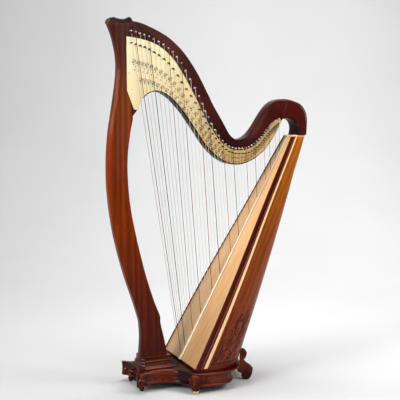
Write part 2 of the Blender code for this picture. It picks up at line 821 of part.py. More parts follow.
def main():
    clear_scene()
    build_column()
    build_neck()
    build_plates()
    build_action()
    build_body()
    build_board()
    build_collar()
    build_edges()
    build_base()
    build_plinth()
    build_feet()
    build_pedals()
    build_strings()
    build_riser()
    centre()


main()
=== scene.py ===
"""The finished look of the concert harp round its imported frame. Metres, +Z up, player at +X."""

import math

import bmesh
import bpy
import numpy as np
from mathutils import Matrix, Vector


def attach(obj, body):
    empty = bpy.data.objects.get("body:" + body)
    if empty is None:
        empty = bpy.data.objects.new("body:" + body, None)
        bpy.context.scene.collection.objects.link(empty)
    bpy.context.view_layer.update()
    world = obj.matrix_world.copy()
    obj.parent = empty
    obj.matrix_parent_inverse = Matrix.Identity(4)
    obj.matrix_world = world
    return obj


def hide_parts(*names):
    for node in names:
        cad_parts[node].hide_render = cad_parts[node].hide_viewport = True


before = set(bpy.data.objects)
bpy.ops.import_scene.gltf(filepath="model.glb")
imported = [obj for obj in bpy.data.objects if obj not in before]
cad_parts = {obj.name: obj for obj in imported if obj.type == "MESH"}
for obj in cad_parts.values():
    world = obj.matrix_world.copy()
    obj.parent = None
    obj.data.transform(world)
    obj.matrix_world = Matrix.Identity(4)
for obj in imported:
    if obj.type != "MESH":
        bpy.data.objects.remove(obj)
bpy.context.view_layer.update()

SHIFT = Vector((-0.0004, 0.0, 0.0))  # the frame's own centring, added to every point below
ROOT = "harp_frame"
SIDES = (("near", -1), ("far", 1))  # the near side is the strings' side, at -Y
UP, ALONG_Y, AGAINST_Y = Vector((0, 0, 1)), Vector((0, 1, 0)), Vector((0, -1, 0))


# ---------------------------------------------------------------- design tables (before SHIFT)

def mm(rows, plain=()):
    """Rows of millimetres turned into metres, apart from the columns listed in plain."""
    return [tuple(v if c in plain else v / 1000 for c, v in enumerate(row)) for row in rows]


NEAR_FACE, FAR_FACE = 0.0138, 0.0758  # y of the neck's two sides
PLATE, PLATE_GAP = 0.0022, 0.0003
PLATE_FRONT = NEAR_FACE - PLATE_GAP - PLATE
NECK_JOINT = -0.415  # x where the neck meets the column
JOINT_BOTTOM = 1.33  # and how far down that joint reaches
COLUMN_HALF, COLUMN_NOSE = 0.0310, 0.0185  # half widths: full, and at the front edge
COLUMN_MIDDLE = ((0.15, 1.35), (0.012, 0.0448))  # two heights, and the column's y at them
BOARD_X0, BOARD_Z0, BOARD_LEAN = -0.142, 0.177, 0.545
BOARD_BOTTOM, BOARD_TOP, BOARD_THICK, BOARD_GAP = 0.112, 1.245, 0.00684, 0.0006
BACK_BEND, SIDE_BEND = 0.86, 0.94  # how full the body's rounded back is
RIB_RISE = 0.008
STRING_REST = 0.0018  # how far in front of the rib the strings end
BASE_TOP = 0.100
STRINGS, WOUND = 47, 12
TREBLE = 24  # from this string on the small fittings are aged brass, not dark steel
ACTION = range(8, 15)  # the strings whose pins and discs move
NATURAL_SHARE, SHARP_SHARE = 0.0561, 0.109  # the discs' places as shares of the string
BASS_DISC = 0.0078  # the largest disc's radius
FORK_REACH, FORK_TURN, FORK_PIN = 0.0062, math.radians(68), 0.0013
DISC_GAP = 0.0003  # between the plate and a disc

# Column: height, front, back.
COLUMN = mm([
    (1796, -536, -415), (1740, -514, -415), (1665, -496, -415), (1590, -490, -415),
    (1505, -497, -415), (1395, -514, -415), (1340, -523, -415), (1270, -535, -429),
    (1150, -546, -445), (1020, -547, -445), (895, -537, -433), (770, -518, -410),
    (650, -491, -383), (535, -458, -353), (425, -422, -318), (350, -400, -289), (312, -392, -286),
    (240, -389, -270), (152.5, -396, -252),
])
# Head: x, top.
CAP_TOP = mm([
    (-539, 1798.5), (-538, 1811), (-527, 1821.5), (-508, 1825), (-480, 1819.5), (-455, 1819),
    (-440, 1825), (-429, 1829.8), (-418, 1821), (-414.7, 1811.5),
])
# Neck: upper x, z, lower x, z, from the column to the shoulder.
NECK = mm([
    (-414.7, 1811, -414.7, 1353), (-385, 1807, -392, 1385), (-350, 1797, -370, 1430),
    (-310, 1781, -335, 1461), (-270, 1763, -300, 1473), (-230, 1741, -270, 1470),
    (-190, 1711, -240, 1456), (-150, 1673, -210, 1434), (-110, 1623, -180, 1404),
    (-70, 1564, -150, 1371), (-40, 1512, -120, 1331), (-10, 1455, -90, 1289),
    (20, 1400, -58, 1243), (50, 1352, -27, 1201), (80, 1303, 5, 1167), (105, 1262, 40, 1137),
    (128, 1240, 80, 1114), (150, 1233, 120, 1103), (172, 1235, 160, 1101), (195, 1243, 200, 1109),
    (220, 1261, 240, 1125), (246, 1291, 275, 1147), (272, 1329, 308, 1172),
    (300, 1370, 338, 1207), (330, 1406, 365, 1247), (366, 1431, 388, 1285),
    (405, 1441, 403, 1316), (442, 1441, 415, 1334), (480, 1432, 434, 1341),
    (514, 1416, 455, 1335), (533, 1393, 470, 1320), (541, 1364, 477, 1300),
    (541, 1330, 476, 1282), (534, 1253.5, 468, 1253),
])
# Shoulder: row of NECK, near side, far side.
SHOULDER = [
    (0, NEAR_FACE, FAR_FACE), (27, NEAR_FACE, FAR_FACE), (28, 0.004, 0.074),
    (29, -0.010, 0.071), (31, -0.032, 0.064), (33, -0.050, 0.056),
]
PLATE_UPPER = mm([
    (-446, 1735), (-390, 1728), (-330, 1715), (-280, 1694), (-235, 1662), (-190, 1615),
    (-130, 1523), (-70, 1417), (-40, 1357), (0, 1292), (45, 1231), (100, 1189), (155, 1175),
    (215, 1183), (265, 1212), (310, 1257), (355, 1312), (396, 1343),
])
PLATE_LOWER = mm([
    (404, 1328), (391, 1300), (352, 1236), (315, 1184), (270, 1150), (235, 1131), (200, 1116),
    (150, 1108), (103, 1113), (40, 1145), (-27, 1208), (-90, 1296), (-152, 1380), (-200, 1431),
    (-245, 1464), (-290, 1478), (-330, 1470), (-358, 1450), (-380, 1412), (-393, 1382),
])
PLATE_HEEL = mm([(-412, 1384), (-447, 1478)])
PLATE_SCREWS = mm([
    (-432, 1724), (-436, 1560), (-425, 1480), (-400, 1400), (-345, 1474), (-250, 1490),
    (-60, 1286), (15, 1182), (115, 1122), (215, 1133), (300, 1186), (362, 1268), (386, 1334),
    (-300, 1694),
])
# Pins and nuts: string, x, z. Feet: string, z.
PINS = mm([
    (1, -428, 1761), (5, -338, 1737), (9, -237, 1684), (12, -169, 1613), (16, -72, 1451),
    (19, -22, 1345), (23, 57, 1227), (26, 114, 1190), (30, 192, 1188), (33, 242, 1210),
    (36, 282, 1243), (40, 322, 1291), (43, 346, 1315), (47, 378, 1336),
], (0,))
NUTS = mm([
    (1, -424, 1705), (5, -331, 1677), (9, -230, 1612), (12, -160, 1520), (16, -64, 1385),
    (19, -12, 1288), (23, 64, 1197), (26, 119, 1164), (30, 195, 1160), (33, 245, 1181),
    (36, 286, 1213), (40, 327, 1260), (43, 352, 1285), (47, 385, 1313),
], (0,))
STRING_FEET = mm([
    (1, 128), (5, 180), (9, 257), (13, 370), (17, 485), (20, 568), (23, 652), (26, 735),
    (28, 790), (33, 930), (36, 1000), (40, 1075), (43, 1118), (47, 1170),
], (0,))
# Body: height, half width, back.
BODY = mm([
    (1250, 42, 535), (1150, 59, 501), (1050, 74, 465), (930, 92, 426), (780, 119, 374),
    (640, 145, 323), (500, 169, 271), (360, 188, 220), (230, 202, 171), (112, 211, 127),
])
STRIP_DEPTH = (0.0245, 0.054)  # at the top and at the bottom
# Sound holes: height, half height, half width.
SOUND_HOLES = mm([(250, 75, 34), (430, 70, 32), (610, 65, 29), (790, 58, 25), (960, 50, 21)])
# Profiles along the body's edges: share of the span (the lip: x), outwards.
DARK_PROFILE = mm([(0, -1), (0, 1), (0.03, 2), (0.94, 2), (0.98, 1), (0.98, -1)], (0,))
BROWN_PROFILE = mm([
    (0, -1), (0, 1.2), (0.1, 3), (0.3, 3.8), (0.5, 3.6), (0.66, 2.2), (0.92, 2.4), (1, 1),
    (1, -1),
], (0,))
PALE_PROFILE = mm([
    (0, -1), (0, 1.6), (0.06, 2.8), (0.5, 3.3), (0.94, 2.8), (1, 1.6), (1, -1),
], (0,))
THIN_PROFILE = mm([(0, -1), (0, 1.4), (0.5, 2.6), (1, 1.2), (1, -1)], (0,))
LIP_SECTION = mm([
    (-6.2, -1.2), (-6.2, 0.6), (-5, 1.8), (2, 1.8), (2, -1), (-0.3, -1), (-0.3, -2.2),
    (-5.2, -2.2),
])
# Side panels: their size, then volutes (along, up, radius, turns, start, hand) and leaves
# (along, up, length, angle, bend, width).
PANEL_LOW, PANEL_TALL, PANEL_WIDE, PANEL_FIRST = 0.118, 0.290, 0.200, 0.0045
FOLIAGE_SCALE = (0.70, 1.0)
PANEL_RAISED, PANEL_CUT, PANEL_BACK = 0.0022, 0.0021, 0.0030  # out, and back into it
BORDER_LINES, BORDER_WIDTH = (0.006, 0.0125), 0.0016
VOLUTES = mm([
    (52, 106, 23, 1.6, -0.6, 1), (128, 42, 19, 1.6, 0.9, -1), (76, 44, 17, 1.5, 2.2, 1),
    (180, 88, 23, 1.7, 2.8, -1), (108, 158, 20, 1.5, -1.2, 1), (36, 30, 10, 1.2, 0.4, 1),
    (196, 38, 16, 1.4, 1.4, 1), (40, 68, 11, 1.2, 1.8, -1), (196, 146, 16, 1.4, 0.2, 1),
    (80, 188, 13, 1.3, 2, -1),
], (3, 4, 5))
LEAVES = mm([
    (134, 204, 58, 0.9, 0.7, 10), (142, 200, 54, 0.2, 0.9, 10), (124, 206, 50, 1.9, 0.9, 9),
    (88, 86, 44, 1.9, -0.7, 10), (64, 134, 42, 1.3, 0.9, 9), (152, 142, 44, 0.4, 1.2, 9),
    (104, 100, 42, 2.2, -1, 8), (88, 176, 44, 1.6, 0.8, 9), (54, 60, 34, 2.4, -0.9, 8),
    (152, 66, 42, 0.1, 0.9, 9), (100, 24, 40, -0.1, 0.7, 7), (160, 118, 38, 0, 1.1, 8),
    (112, 208, 46, 2.4, 0.6, 8), (160, 180, 44, 0.5, 0.5, 8),
], (3, 4))
# Base: half of its outline, then its walls: height, inset (and share of the tuck).
BASE_PLAN = mm([
    (-414, 0), (-416, 30), (-424, 66), (-438, 98), (-452, 112), (-446, 124), (-404, 114),
    (-344, 105), (-296, 112), (-252, 140), (-224, 182), (-202, 220), (-168, 240), (-100, 248),
    (-30, 246), (22, 230), (58, 198), (86, 150), (110, 95), (128, 45), (134, 0),
])
BASE_TUCK = (-0.050, 0.72)  # the walls are drawn in behind this x, to this share
WALL_INSET = 0.0065  # how far inside the outline the carving lies
DRUM_WALL = mm([
    (100, 12, 0), (100, 3, 0), (99, 0.8, 0), (97, -1.6, 0), (94, -1.8, 0), (91.5, -0.6, 0.05),
    (90, 1.6, 0.2), (88.5, 3, 0.35), (86.8, 3.6, 0.45), (85.2, 4.6, 0.6), (83.5, 6.6, 0.8),
    (81.5, 8.2, 0.9), (78.5, 9, 1), (65, 9, 1), (54, 9, 1), (51.5, 8, 1), (50.2, 5.6, 1),
    (49, 5, 1), (47.8, 5.6, 1), (47, 7.8, 1), (46.2, 8, 1), (45.2, 4.8, 1), (43.6, 1.2, 1),
    (41, -0.2, 1), (38.4, -0.2, 1), (35.8, 1.2, 1), (33.6, 4.8, 1), (30, 8.5, 1), (28.2, 26, 1),
], (2,))
WAIST_WALL = mm([
    (100, 19), (99, 12), (95.5, 6), (90, 2.2), (83, 0.2), (76, 0.6), (71.2, 2.6), (69.6, 5),
    (60, 6), (50, 5.8), (45.2, 4.4), (44.4, 1.2), (41, -0.6), (37.2, -0.6), (34, 2), (31, 6.4),
    (29, 11), (28.2, 26),
])
# Plinth: height, outwards.
PLINTH_LEVELS = mm([
    (100.3, 36), (101.2, 36.2), (103.5, 34), (105.8, 28.5), (108.2, 23.8), (111, 20.2),
    (114, 18.2), (117.2, 17.4), (118.4, 16.8), (119, 17.4), (120.3, 18.4), (121.7, 18),
    (122.8, 16), (123.6, 11.8), (124.4, 8.6), (125.6, 8), (126.8, 9.6), (128.6, 10.3),
    (130.4, 9.4), (131.6, 7), (133, 5.8), (134.5, 3.4), (136, 1.6), (137.2, 3), (139.2, 4.2),
    (141, 3.2), (142.2, 0.8), (144, 1.8), (146.2, 4), (149, 5.8), (151.2, 6), (152.2, 5),
    (152.4, 0),
])
# Rear feet: out, up. Middle feet: height, two radii. Horn balls: height, radius.
REAR_SCROLL = mm([
    (1, 106), (0.8, 122), (3, 142), (10, 155.5), (22, 149), (30.5, 133), (25.5, 117), (15.5, 103),
    (21, 89), (43, 74), (59.5, 58), (61, 44), (54, 20), (40, 6), (20, 6), (10.5, 17), (10, 34),
    (-6, 42), (-10, 54), (1, 80),
])
MIDDLE_FOOT = mm([
    (14.5, 15, 15), (19, 19.5, 19.5), (27, 22.8, 22.8), (36, 23.6, 23.6), (45, 21.5, 21.5),
    (53, 17.5, 17.5), (59, 15.2, 15.2), (67, 17, 17), (78, 21, 20.5), (85, 20.5, 20),
    (90, 16.5, 16), (92.5, 10, 10),
])
HORN_BALL = mm([
    (30, 8), (33, 16), (39, 22), (48, 25), (58, 24), (66, 20), (72, 16.5), (78, 16), (86, 18),
    (92, 17), (96, 11),
])
# Carving beside the feet: volutes (x, z, radius, hand) and lobes (x, z, angle, length).
MIDDLE_VOLUTES = mm([(-148, 72, 10.5, 1), (-130, 58, 8, -1), (-152, 53, 7.5, -1)], (3,))
MIDDLE_LOBES = mm([
    (-157, 60, 0.6, 30), (-155, 50, 0.1, 34), (-157, 75, 0.3, 26), (-137, 76, -0.5, 26),
    (-155, 43, -0.2, 24), (-205, 62, 2.6, 22), (-204, 48, 3.0, 20),
], (2,))
FRONT_VOLUTES = mm([
    (-415, 68, 9.5, 1), (-296, 66, 10, -1), (-277, 52, 8, 1), (-311, 52, 7, 1),
], (3,))
FRONT_LOBES = mm([
    (-428, 60, 0.3, 40), (-425, 50, -0.1, 46), (-420, 45, -0.3, 34), (-392, 70, -0.2, 30),
    (-320, 62, 0.4, 32), (-322, 52, 0.1, 34), (-270, 66, 0.3, 26), (-264, 56, -0.1, 26),
    (-300, 76, 2.8, 26), (-335, 58, 3.0, 30),
], (2,))
# Pedals: note, y, reach.
PEDALS = mm([
    ("d", -72, 150), ("c", -48, 155), ("b", -24, 160), ("e", 0, 162), ("f", 24, 160),
    ("g", 48, 155), ("a", 72, 150),
], (0,))
PEDAL_PIVOT = Vector((0.020, 0.0, 0.048))


# ---------------------------------------------------------------- curves and sections

def smooth(rows, per_step):
    """A curve through the rows, with per_step points in each span."""
    rows = np.array(rows, float)
    padded = np.vstack([2 * rows[0] - rows[1], rows, 2 * rows[-1] - rows[-2]])
    out = []
    for i in range(len(rows) - 1):
        a, b, c, d = padded[i:i + 4]
        for t in (k / per_step for k in range(per_step)):
            out.append(0.5 * (2 * b + (c - a) * t + (2 * a - 5 * b + 4 * c - d) * t * t
                              + (3 * b - a - 3 * c + d) * t ** 3))
    return out + [rows[-1]]


def smooth_closed(rows, per_step):
    rows = [tuple(r) for r in rows]
    fine = smooth(rows[-2:] + rows + rows[:3], per_step)
    return [tuple(p) for p in fine[2 * per_step:(2 + len(rows)) * per_step]]


FINE_TABLES = {}


def curve_at(table, key):
    """The other columns of a table, read smoothly where its first column is key."""
    if id(table) not in FINE_TABLES:
        rows = np.array(smooth(table, 8))
        FINE_TABLES[id(table)] = rows[np.argsort(rows[:, 0])]
    rows = FINE_TABLES[id(table)]
    return [float(np.interp(key, rows[:, 0], rows[:, c])) for c in range(1, rows.shape[1])]


def point_at(table, i):
    x, z = curve_at(table, i)
    return Vector((x, 0, z))


def board_x(z):
    return BOARD_X0 + (z - BOARD_Z0) * BOARD_LEAN


def foot_point(i):
    z = curve_at(STRING_FEET, i)[0]
    return Vector((board_x(z) - RIB_RISE - STRING_REST, 0, z))


def string_down(i):
    return (foot_point(i) - point_at(NUTS, i)).normalized()


def string_radius(i):
    """Bass wires, then gut from thick to fine. Red and black strings are stouter."""
    plain = 0.00115 - 0.00003 * i if i <= WOUND else 0.00110 - 0.000018 * (i - WOUND)
    return plain * {3: 1.60, 0: 1.40}.get((i - 2) % 7, 0.92)


def pin_radius(i):
    return 0.0036 if i < 30 else 0.0032


def disc_radius(i):
    return float(np.interp(i, (1, 20, 30, 40, 47), (BASS_DISC, 0.0076, 0.0060, 0.0042, 0.0034)))


def rounded(ring, radius, steps=3):
    """The corners of a closed 2-D ring turned into short arcs."""
    ring = [Vector(p) for p in ring]
    out = []
    for k, p in enumerate(ring):
        a, b = ring[k - 1] - p, ring[(k + 1) % len(ring)] - p
        start = p + a.normalized() * min(radius, a.length * 0.45)
        end = p + b.normalized() * min(radius, b.length * 0.45)
        for t in shares(steps):
            out.append(tuple((1 - t) ** 2 * start + 2 * t * (1 - t) * p + t * t * end))
    return out


def drawn_in(ring, inset):
    points = [Vector(p) for p in ring]
    out = []
    for k, p in enumerate(points):
        along = (points[(k + 1) % len(points)] - points[k - 1]).normalized()
        out.append((p.x + along.y * inset, p.y - along.x * inset))
    return out


def shares(steps):
    """Evenly spaced values from 0 to 1."""
    return [k / steps for k in range(steps + 1)]


def circle(count):
    """Cosines and sines round a full turn."""
    return [(math.cos(t), math.sin(t)) for t in (2 * math.pi * k / count for k in range(count))]


def level(outline, z):
    return [(x, y, z) for x, y in outline]


def box_outline(x0, x1, y0, y1):
    return [(x0, y0), (x1, y0), (x1, y1), (x0, y1)]


def mirrored(half, middle=0.0):
    """A closed outline from its half: each point at middle - y, then back at middle + y."""
    return [(x, middle - y) for x, y in half] + [(x, middle + y) for x, y in reversed(half)]


# ---------------------------------------------------------------- mesh building

def reworked(mesh, *steps):
    work = bmesh.new()
    work.from_mesh(mesh)
    for step in steps:
        step(work)
    work.to_mesh(mesh)
    work.free()


WELD_REACH = 1e-6


def welded(work):
    bmesh.ops.remove_doubles(work, verts=work.verts, dist=WELD_REACH)


def outward(work):
    bmesh.ops.recalc_face_normals(work, faces=work.faces)


def split_large(work):
    bmesh.ops.triangulate(work, faces=[f for f in work.faces if len(f.verts) > 4])


def creased(degrees):
    """A step that shades smooth, with crisp edges where faces turn by more than degrees."""
    def step(work):
        for face in work.faces:
            face.smooth = True
        for edge in work.edges:
            edge.smooth = edge.calc_face_angle(0) < math.radians(degrees)
    return step


def linked(name, data):
    obj = bpy.data.objects.new(name, data)
    bpy.context.scene.collection.objects.link(obj)
    return obj


class Shape:
    """Points and faces gathered from several closed forms, each with its own material number."""

    def __init__(self):
        self.points, self.faces, self.mats = [], [], []

    def face(self, ids, mat=0):
        self.faces.append(tuple(ids))
        self.mats.append(mat)

    def loft(self, rings, mat=0, edge_mats=None):
        """A closed form through rings of equal length. edge_mats gives each side its material."""
        start, count = len(self.points), len(rings[0])
        for ring in rings:
            self.points += [Vector(p) for p in ring]
        last = start + (len(rings) - 1) * count
        for a in range(start, last, count):
            for i in range(count):
                j = (i + 1) % count
                self.face((a + i, a + j, a + count + j, a + count + i),
                          edge_mats[i] if edge_mats else mat)
        self.face(reversed(range(start, start + count)), mat)
        self.face(range(last, last + count), mat)

    def turned(self, origin, axis, profile, sides=16, mat=0):
        """A lathe form: profile is (distance along axis, radius)."""
        origin, axis = Vector(origin), axis.normalized()
        side = axis.orthogonal().normalized()
        other = axis.cross(side)
        self.loft([[origin + axis * along + (c * side + s * other) * max(radius, 1e-5)
                    for c, s in circle(sides)] for along, radius in profile], mat)

    def tube(self, path, radius, sides=8, mat=0):
        """A round bar along a path. Radius is a number or one number for each point."""
        path = [Vector(p) for p in path]
        radii = radius if hasattr(radius, "__len__") else [radius] * len(path)
        side = (path[1] - path[0]).orthogonal().normalized()
        rings = []
        for k, p in enumerate(path):
            ahead = (path[min(k + 1, len(path) - 1)] - path[max(k - 1, 0)]).normalized()
            side = (side - ahead * side.dot(ahead)).normalized()
            other = ahead.cross(side)
            rings.append([p + radii[k] * (c * side + s * other) for c, s in circle(sides)])
        self.loft(rings, mat)

    def mesh(self, name):
        mesh = bpy.data.meshes.new(name)
        mesh.from_pydata([tuple(p + SHIFT) for p in self.points], [], self.faces)
        return mesh

    def cutter(self, name):
        mesh = self.mesh(name)
        reworked(mesh, outward)
        return linked(name, mesh)

    def make(self, name, materials, slot=None, *replaced, body=ROOT, sharp=35, weld=True):
        """The finished piece, riding on its body."""
        mesh = self.mesh(name)
        for material in materials:
            mesh.materials.append(material)
        mesh.polygons.foreach_set("material_index", self.mats)
        reworked(mesh, *([welded] if weld else []), outward, split_large, creased(sharp))
        obj = linked(name, mesh)
        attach(obj, body)
        if replaced:
            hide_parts(*replaced)
        return obj


def make_loft(name, rings, material, slot, replaced, sharp=35):
    shape = Shape()
    shape.loft(rings)
    return shape.make(name, [material], slot, replaced, sharp=sharp)


def carve_with(obj, cutters):
    for cutter in cutters:
        step = obj.modifiers.new("cut", "BOOLEAN")
        step.operation = "DIFFERENCE"
        step.solver = "EXACT"
        step.object = cutter
    graph = bpy.context.evaluated_depsgraph_get()
    mesh = bpy.data.meshes.new_from_object(obj.evaluated_get(graph))
    obj.modifiers.clear()
    obj.data = mesh
    for cutter in cutters:
        bpy.data.objects.remove(cutter, do_unlink=True)
    reworked(mesh, creased(35))


# ---------------------------------------------------------------- materials

CLOUD = (0.3, 0.7)  # the range that a noise pattern mostly keeps to


def thousandths(colour):
    return [part / 1000 for part in colour]


class Paint:
    """One procedural material and the node recipes it is mixed from."""

    def __init__(self, name, **constants):
        self.material = bpy.data.materials.new(name)
        self.material.use_nodes = True
        self.tree = self.material.node_tree
        self.shader = self.tree.nodes["Principled BSDF"]
        for key, value in constants.items():
            self.shader.inputs[key.replace("_", " ")].default_value = value

    def node(self, kind, inputs=None, output=0, **settings):
        made = self.tree.nodes.new("ShaderNode" + kind)
        for key, value in settings.items():
            setattr(made, key, value)
        for key, value in (inputs or {}).items():
            if hasattr(value, "links"):
                self.tree.links.new(value, made.inputs[key])
            else:
                made.inputs[key].default_value = value
        return made.outputs[output]

    def ramp(self, factor, stops):
        """A colour ramp. stops are (place, colour in thousandths) pairs."""
        out = self.node("ValToRGB", {"Fac": factor})
        elements = out.node.color_ramp.elements
        while len(elements) > 1:
            elements.remove(elements[-1])
        elements[0].position = stops[0][0]
        for k, (place, colour) in enumerate(stops):
            element = elements.new(place) if k else elements[0]
            element.color = (*thousandths(colour), 1)
        return out

    def maths(self, operation, a, b):
        return self.node("Math", {0: a, 1: b}, operation=operation)

    def weighed(self, *terms):
        """The sum of (value, weight) pairs."""
        parts = [self.maths("MULTIPLY", value, weight) for value, weight in terms]
        total = parts[0]
        for part in parts[1:]:
            total = self.maths("ADD", total, part)
        return total

    def times(self, first, *others):
        for other in others:
            first = self.maths("MULTIPLY", first, other)
        return first

    def spread(self, value, low, high, to_low, to_high):
        return self.node("MapRange", {"Value": value, "From Min": low, "From Max": high,
                                      "To Min": to_low, "To Max": to_high})

    def scaled(self, colour, amount):
        return self.node("VectorMath", {0: colour, "Scale": amount}, operation="SCALE")

    def axis(self, number):
        place = self.node("TexCoord", output="Object")
        return self.node("SeparateXYZ", {0: place}, number)

    def coords(self, scale=(1, 1, 1), turn=(0, 0, 0)):
        place = self.node("TexCoord", output="Object")
        turned = self.node("Mapping", {"Vector": place, "Rotation": turn})
        return self.node("Mapping", {"Vector": turned, "Scale": scale})

    def noise(self, vector, scale, detail=4.0, rough=0.55, twist=0.0):
        return self.node("TexNoise", {"Vector": vector, "Scale": scale, "Detail": detail,
                                      "Roughness": rough, "Distortion": twist}, "Fac")

    def link(self, key, value):
        self.tree.links.new(value, self.shader.inputs[key])

    def finish(self, colour, cloud, rough, height, strength, distance):
        """Colour, a roughness that follows cloud between two values, and relief from height."""
        self.link("Base Color", colour)
        self.link("Roughness", self.spread(cloud, *CLOUD, *rough))
        self.link("Normal", self.node("Bump", {"Height": height, "Strength": strength,
                                               "Distance": distance}))
        return self.material


def wood(name, tones, axis=2, grain=(1, 1, 0.05), turn=0.0, gloss=(0.26, 0.40), coat=0.45,
         depth=0.42, carved=False, wear=0.6):
    """Lacquered wood: streaks, figure and pores, brighter worn edges, and painted shade that
    darkens hollows and, where carved is set, the carved grooves.

    tones are (place in metres along the axis, red, green, blue in thousandths).
    """
    paint = Paint(name, Coat_Weight=coat, Coat_Roughness=0.10, Coat_IOR=1.36, IOR=1.42,
                  Specular_IOR_Level=0.06)
    along = paint.coords(grain, (0, turn, 0))
    streaks = paint.noise(along, 70, 6, 0.62)
    figure = paint.noise(along, 5.0, 3, 0.5, 1.2)
    rings = paint.node("TexWave", {"Vector": along, "Scale": 9.0, "Distortion": 7.0,
                                   "Detail": 3.0, "Detail Scale": 1.4}, "Fac", wave_type="BANDS")
    pores = paint.noise(along, 420, 2, 0.5)
    low, high = tones[0][0], tones[-1][0] + 0.001
    share = paint.spread(paint.axis(axis), low, high, 0.0, 1.0)
    colour = paint.ramp(share, [((at - low) / (high - low), tone) for at, *tone in tones])
    mix = paint.weighed((streaks, 0.42), (figure, 0.40), (rings, 0.18))
    point = paint.node("NewGeometry", output="Pointiness")
    # The last factor here is painted shade: hollows, where pointiness is low, are darkened to as
    # little as 0.30.
    factors = [paint.spread(mix, 0.34, 0.66, 1 - depth, 1 + depth),
               paint.spread(pores, 0.36, 0.46, 0.75, 1.0),
               paint.spread(point, 0.52, 0.60, 1.0, 1 + wear),
               paint.spread(point, 0.38, 0.48, 0.30, 1.0)]
    # Painted shade in the carving: where the carve attribute marks a groove, the colour is darkened
    # to 0.16.
    if carved:
        cut = paint.node("Attribute", output="Fac", attribute_name="carve")
        factors.append(paint.spread(cut, 0.05, 0.75, 1.0, 0.16))
    height = paint.maths("ADD", streaks, paint.maths("MULTIPLY", pores, 0.5))
    return paint.finish(paint.scaled(colour, paint.times(*factors)), figure, gloss,
                        height, 0.08, 0.0006)


def metal(name, shade, deep, rough=(0.2, 0.36), brushed=(1, 1, 1), slope=None):
    """Worked metal: brushed grain and faint tarnish; with slope, also a painted reflection, the
    colour turning from pale to deep along a line across the object.
    """
    paint = Paint(name, Metallic=1.0)
    fine = paint.noise(paint.coords(brushed), 260, 4, 0.6)
    tone = paint.spread(paint.noise(paint.coords(), 14, 3, 0.5), 0.3, 0.75, 0.0, 0.55)
    if slope:
        by_x, by_z, low, high = slope
        across = paint.weighed((paint.axis(0), by_x), (paint.axis(2), by_z))
        tone = paint.weighed((tone, 0.3), (paint.spread(across, low, high, 0.0, 1.0), 0.85))
    colour = paint.ramp(tone, [(0.0, shade), (1.0, deep)])
    return paint.finish(colour, fine, rough, fine, 0.06, 0.0003)


def filament(name, dark, light, metallic=0.0, rough=(0.35, 0.5), turns=900.0, depth=0.2):
    """String stuff: gut with a faint twist, or a wire core with close windings."""
    paint = Paint(name, Metallic=metallic)
    place = paint.coords()
    winding = paint.node("TexWave", {"Vector": place, "Scale": turns, "Distortion": 0.4}, "Fac",
                         wave_type="BANDS", bands_direction="Z")
    patch = paint.noise(place, 30, 3)
    colour = paint.ramp(paint.weighed((winding, 0.4), (patch, 0.6)), [(0.2, dark), (0.8, light)])
    return paint.finish(colour, patch, rough, winding, depth, 0.0002)


def pale_wood(name, dark, mid, light, fine=320, low=None):
    """Straight-grained board: close parallel lines with a slow change of warmth."""
    paint = Paint(name, Coat_Weight=0.35, Coat_Roughness=0.12)
    lines = paint.noise(paint.coords((1, 1, 0.03), (0, LEAN, 0)), fine, 3, 0.5)
    broad = paint.noise(paint.coords((1, 1, 0.25), (0, LEAN, 0)), 6, 3, 0.5)
    colour = paint.ramp(paint.weighed((lines, 0.55), (broad, 0.45)),
                        [(0.35, dark), (0.5, mid), (0.66, light)])
    if low:
        colour = paint.scaled(colour, paint.spread(paint.axis(2), 0.10, 0.70, low, 1.0))
    return paint.finish(colour, broad, (0.28, 0.42), lines, 0.08, 0.0004)


def felt(name, dark, light):
    paint = Paint(name, Sheen_Weight=0.5, Sheen_Roughness=0.5)
    fuzz = paint.noise(paint.coords(), 900, 5, 0.7)
    colour = paint.ramp(fuzz, [(0.35, dark), (0.65, light)])
    return paint.finish(colour, fuzz, (0.85, 0.98), fuzz, 0.5, 0.0006)


LEAN = -math.atan(BOARD_LEAN)
ALONG_NECK, NECK_SLOPE, ALONG_BASE = (0.10, 1, 1), math.radians(-40), (0.12, 0.4, 1)
# A darker copy of the base wood: painted shade for the cove under the body, laid on the base's top
# faces.
SHADED_WOOD = wood("painted_shade_cove_mahogany", [(-0.45, 30, 4, 2), (0.15, 34, 2, 1)],
                   0, ALONG_BASE, coat=0.15)
NECK_WOOD = wood("lacquered_neck_mahogany", [
    (-0.54, 34, 10, 8), (-0.40, 50, 15, 12), (-0.20, 60, 13, 9), (-0.05, 52, 6, 3),
    (0.12, 24, 2, 1), (0.30, 55, 4, 1), (0.55, 40, 2, 1),
], 0, ALONG_NECK, NECK_SLOPE, coat=0.35)
# The neck's underside in a darker copy of the neck wood: painted shade.
NECK_UNDERSIDE_SHADE = wood("shaded_neck_mahogany", [
    (-0.42, 10, 4, 3), (0.20, 8, 1, 1), (0.50, 12, 5, 4),
], 0, ALONG_NECK, NECK_SLOPE, coat=0.1)
COLUMN_WOOD = wood("lacquered_column_mahogany", [
    (0.15, 55, 7, 3), (0.45, 85, 10, 2), (0.80, 175, 23, 1), (1.20, 175, 22, 1),
    (1.45, 165, 30, 2), (1.62, 85, 16, 8), (1.80, 50, 13, 9),
], grain=(1, 1, 0.04), coat=0.14)
BODY_WOOD = wood("lacquered_body_mahogany", [
    (0.11, 165, 30, 14), (0.45, 190, 36, 8), (0.80, 270, 62, 7), (1.05, 350, 92, 6),
    (1.25, 430, 115, 6),
], turn=LEAN, depth=0.28, carved=True, coat=0.24)
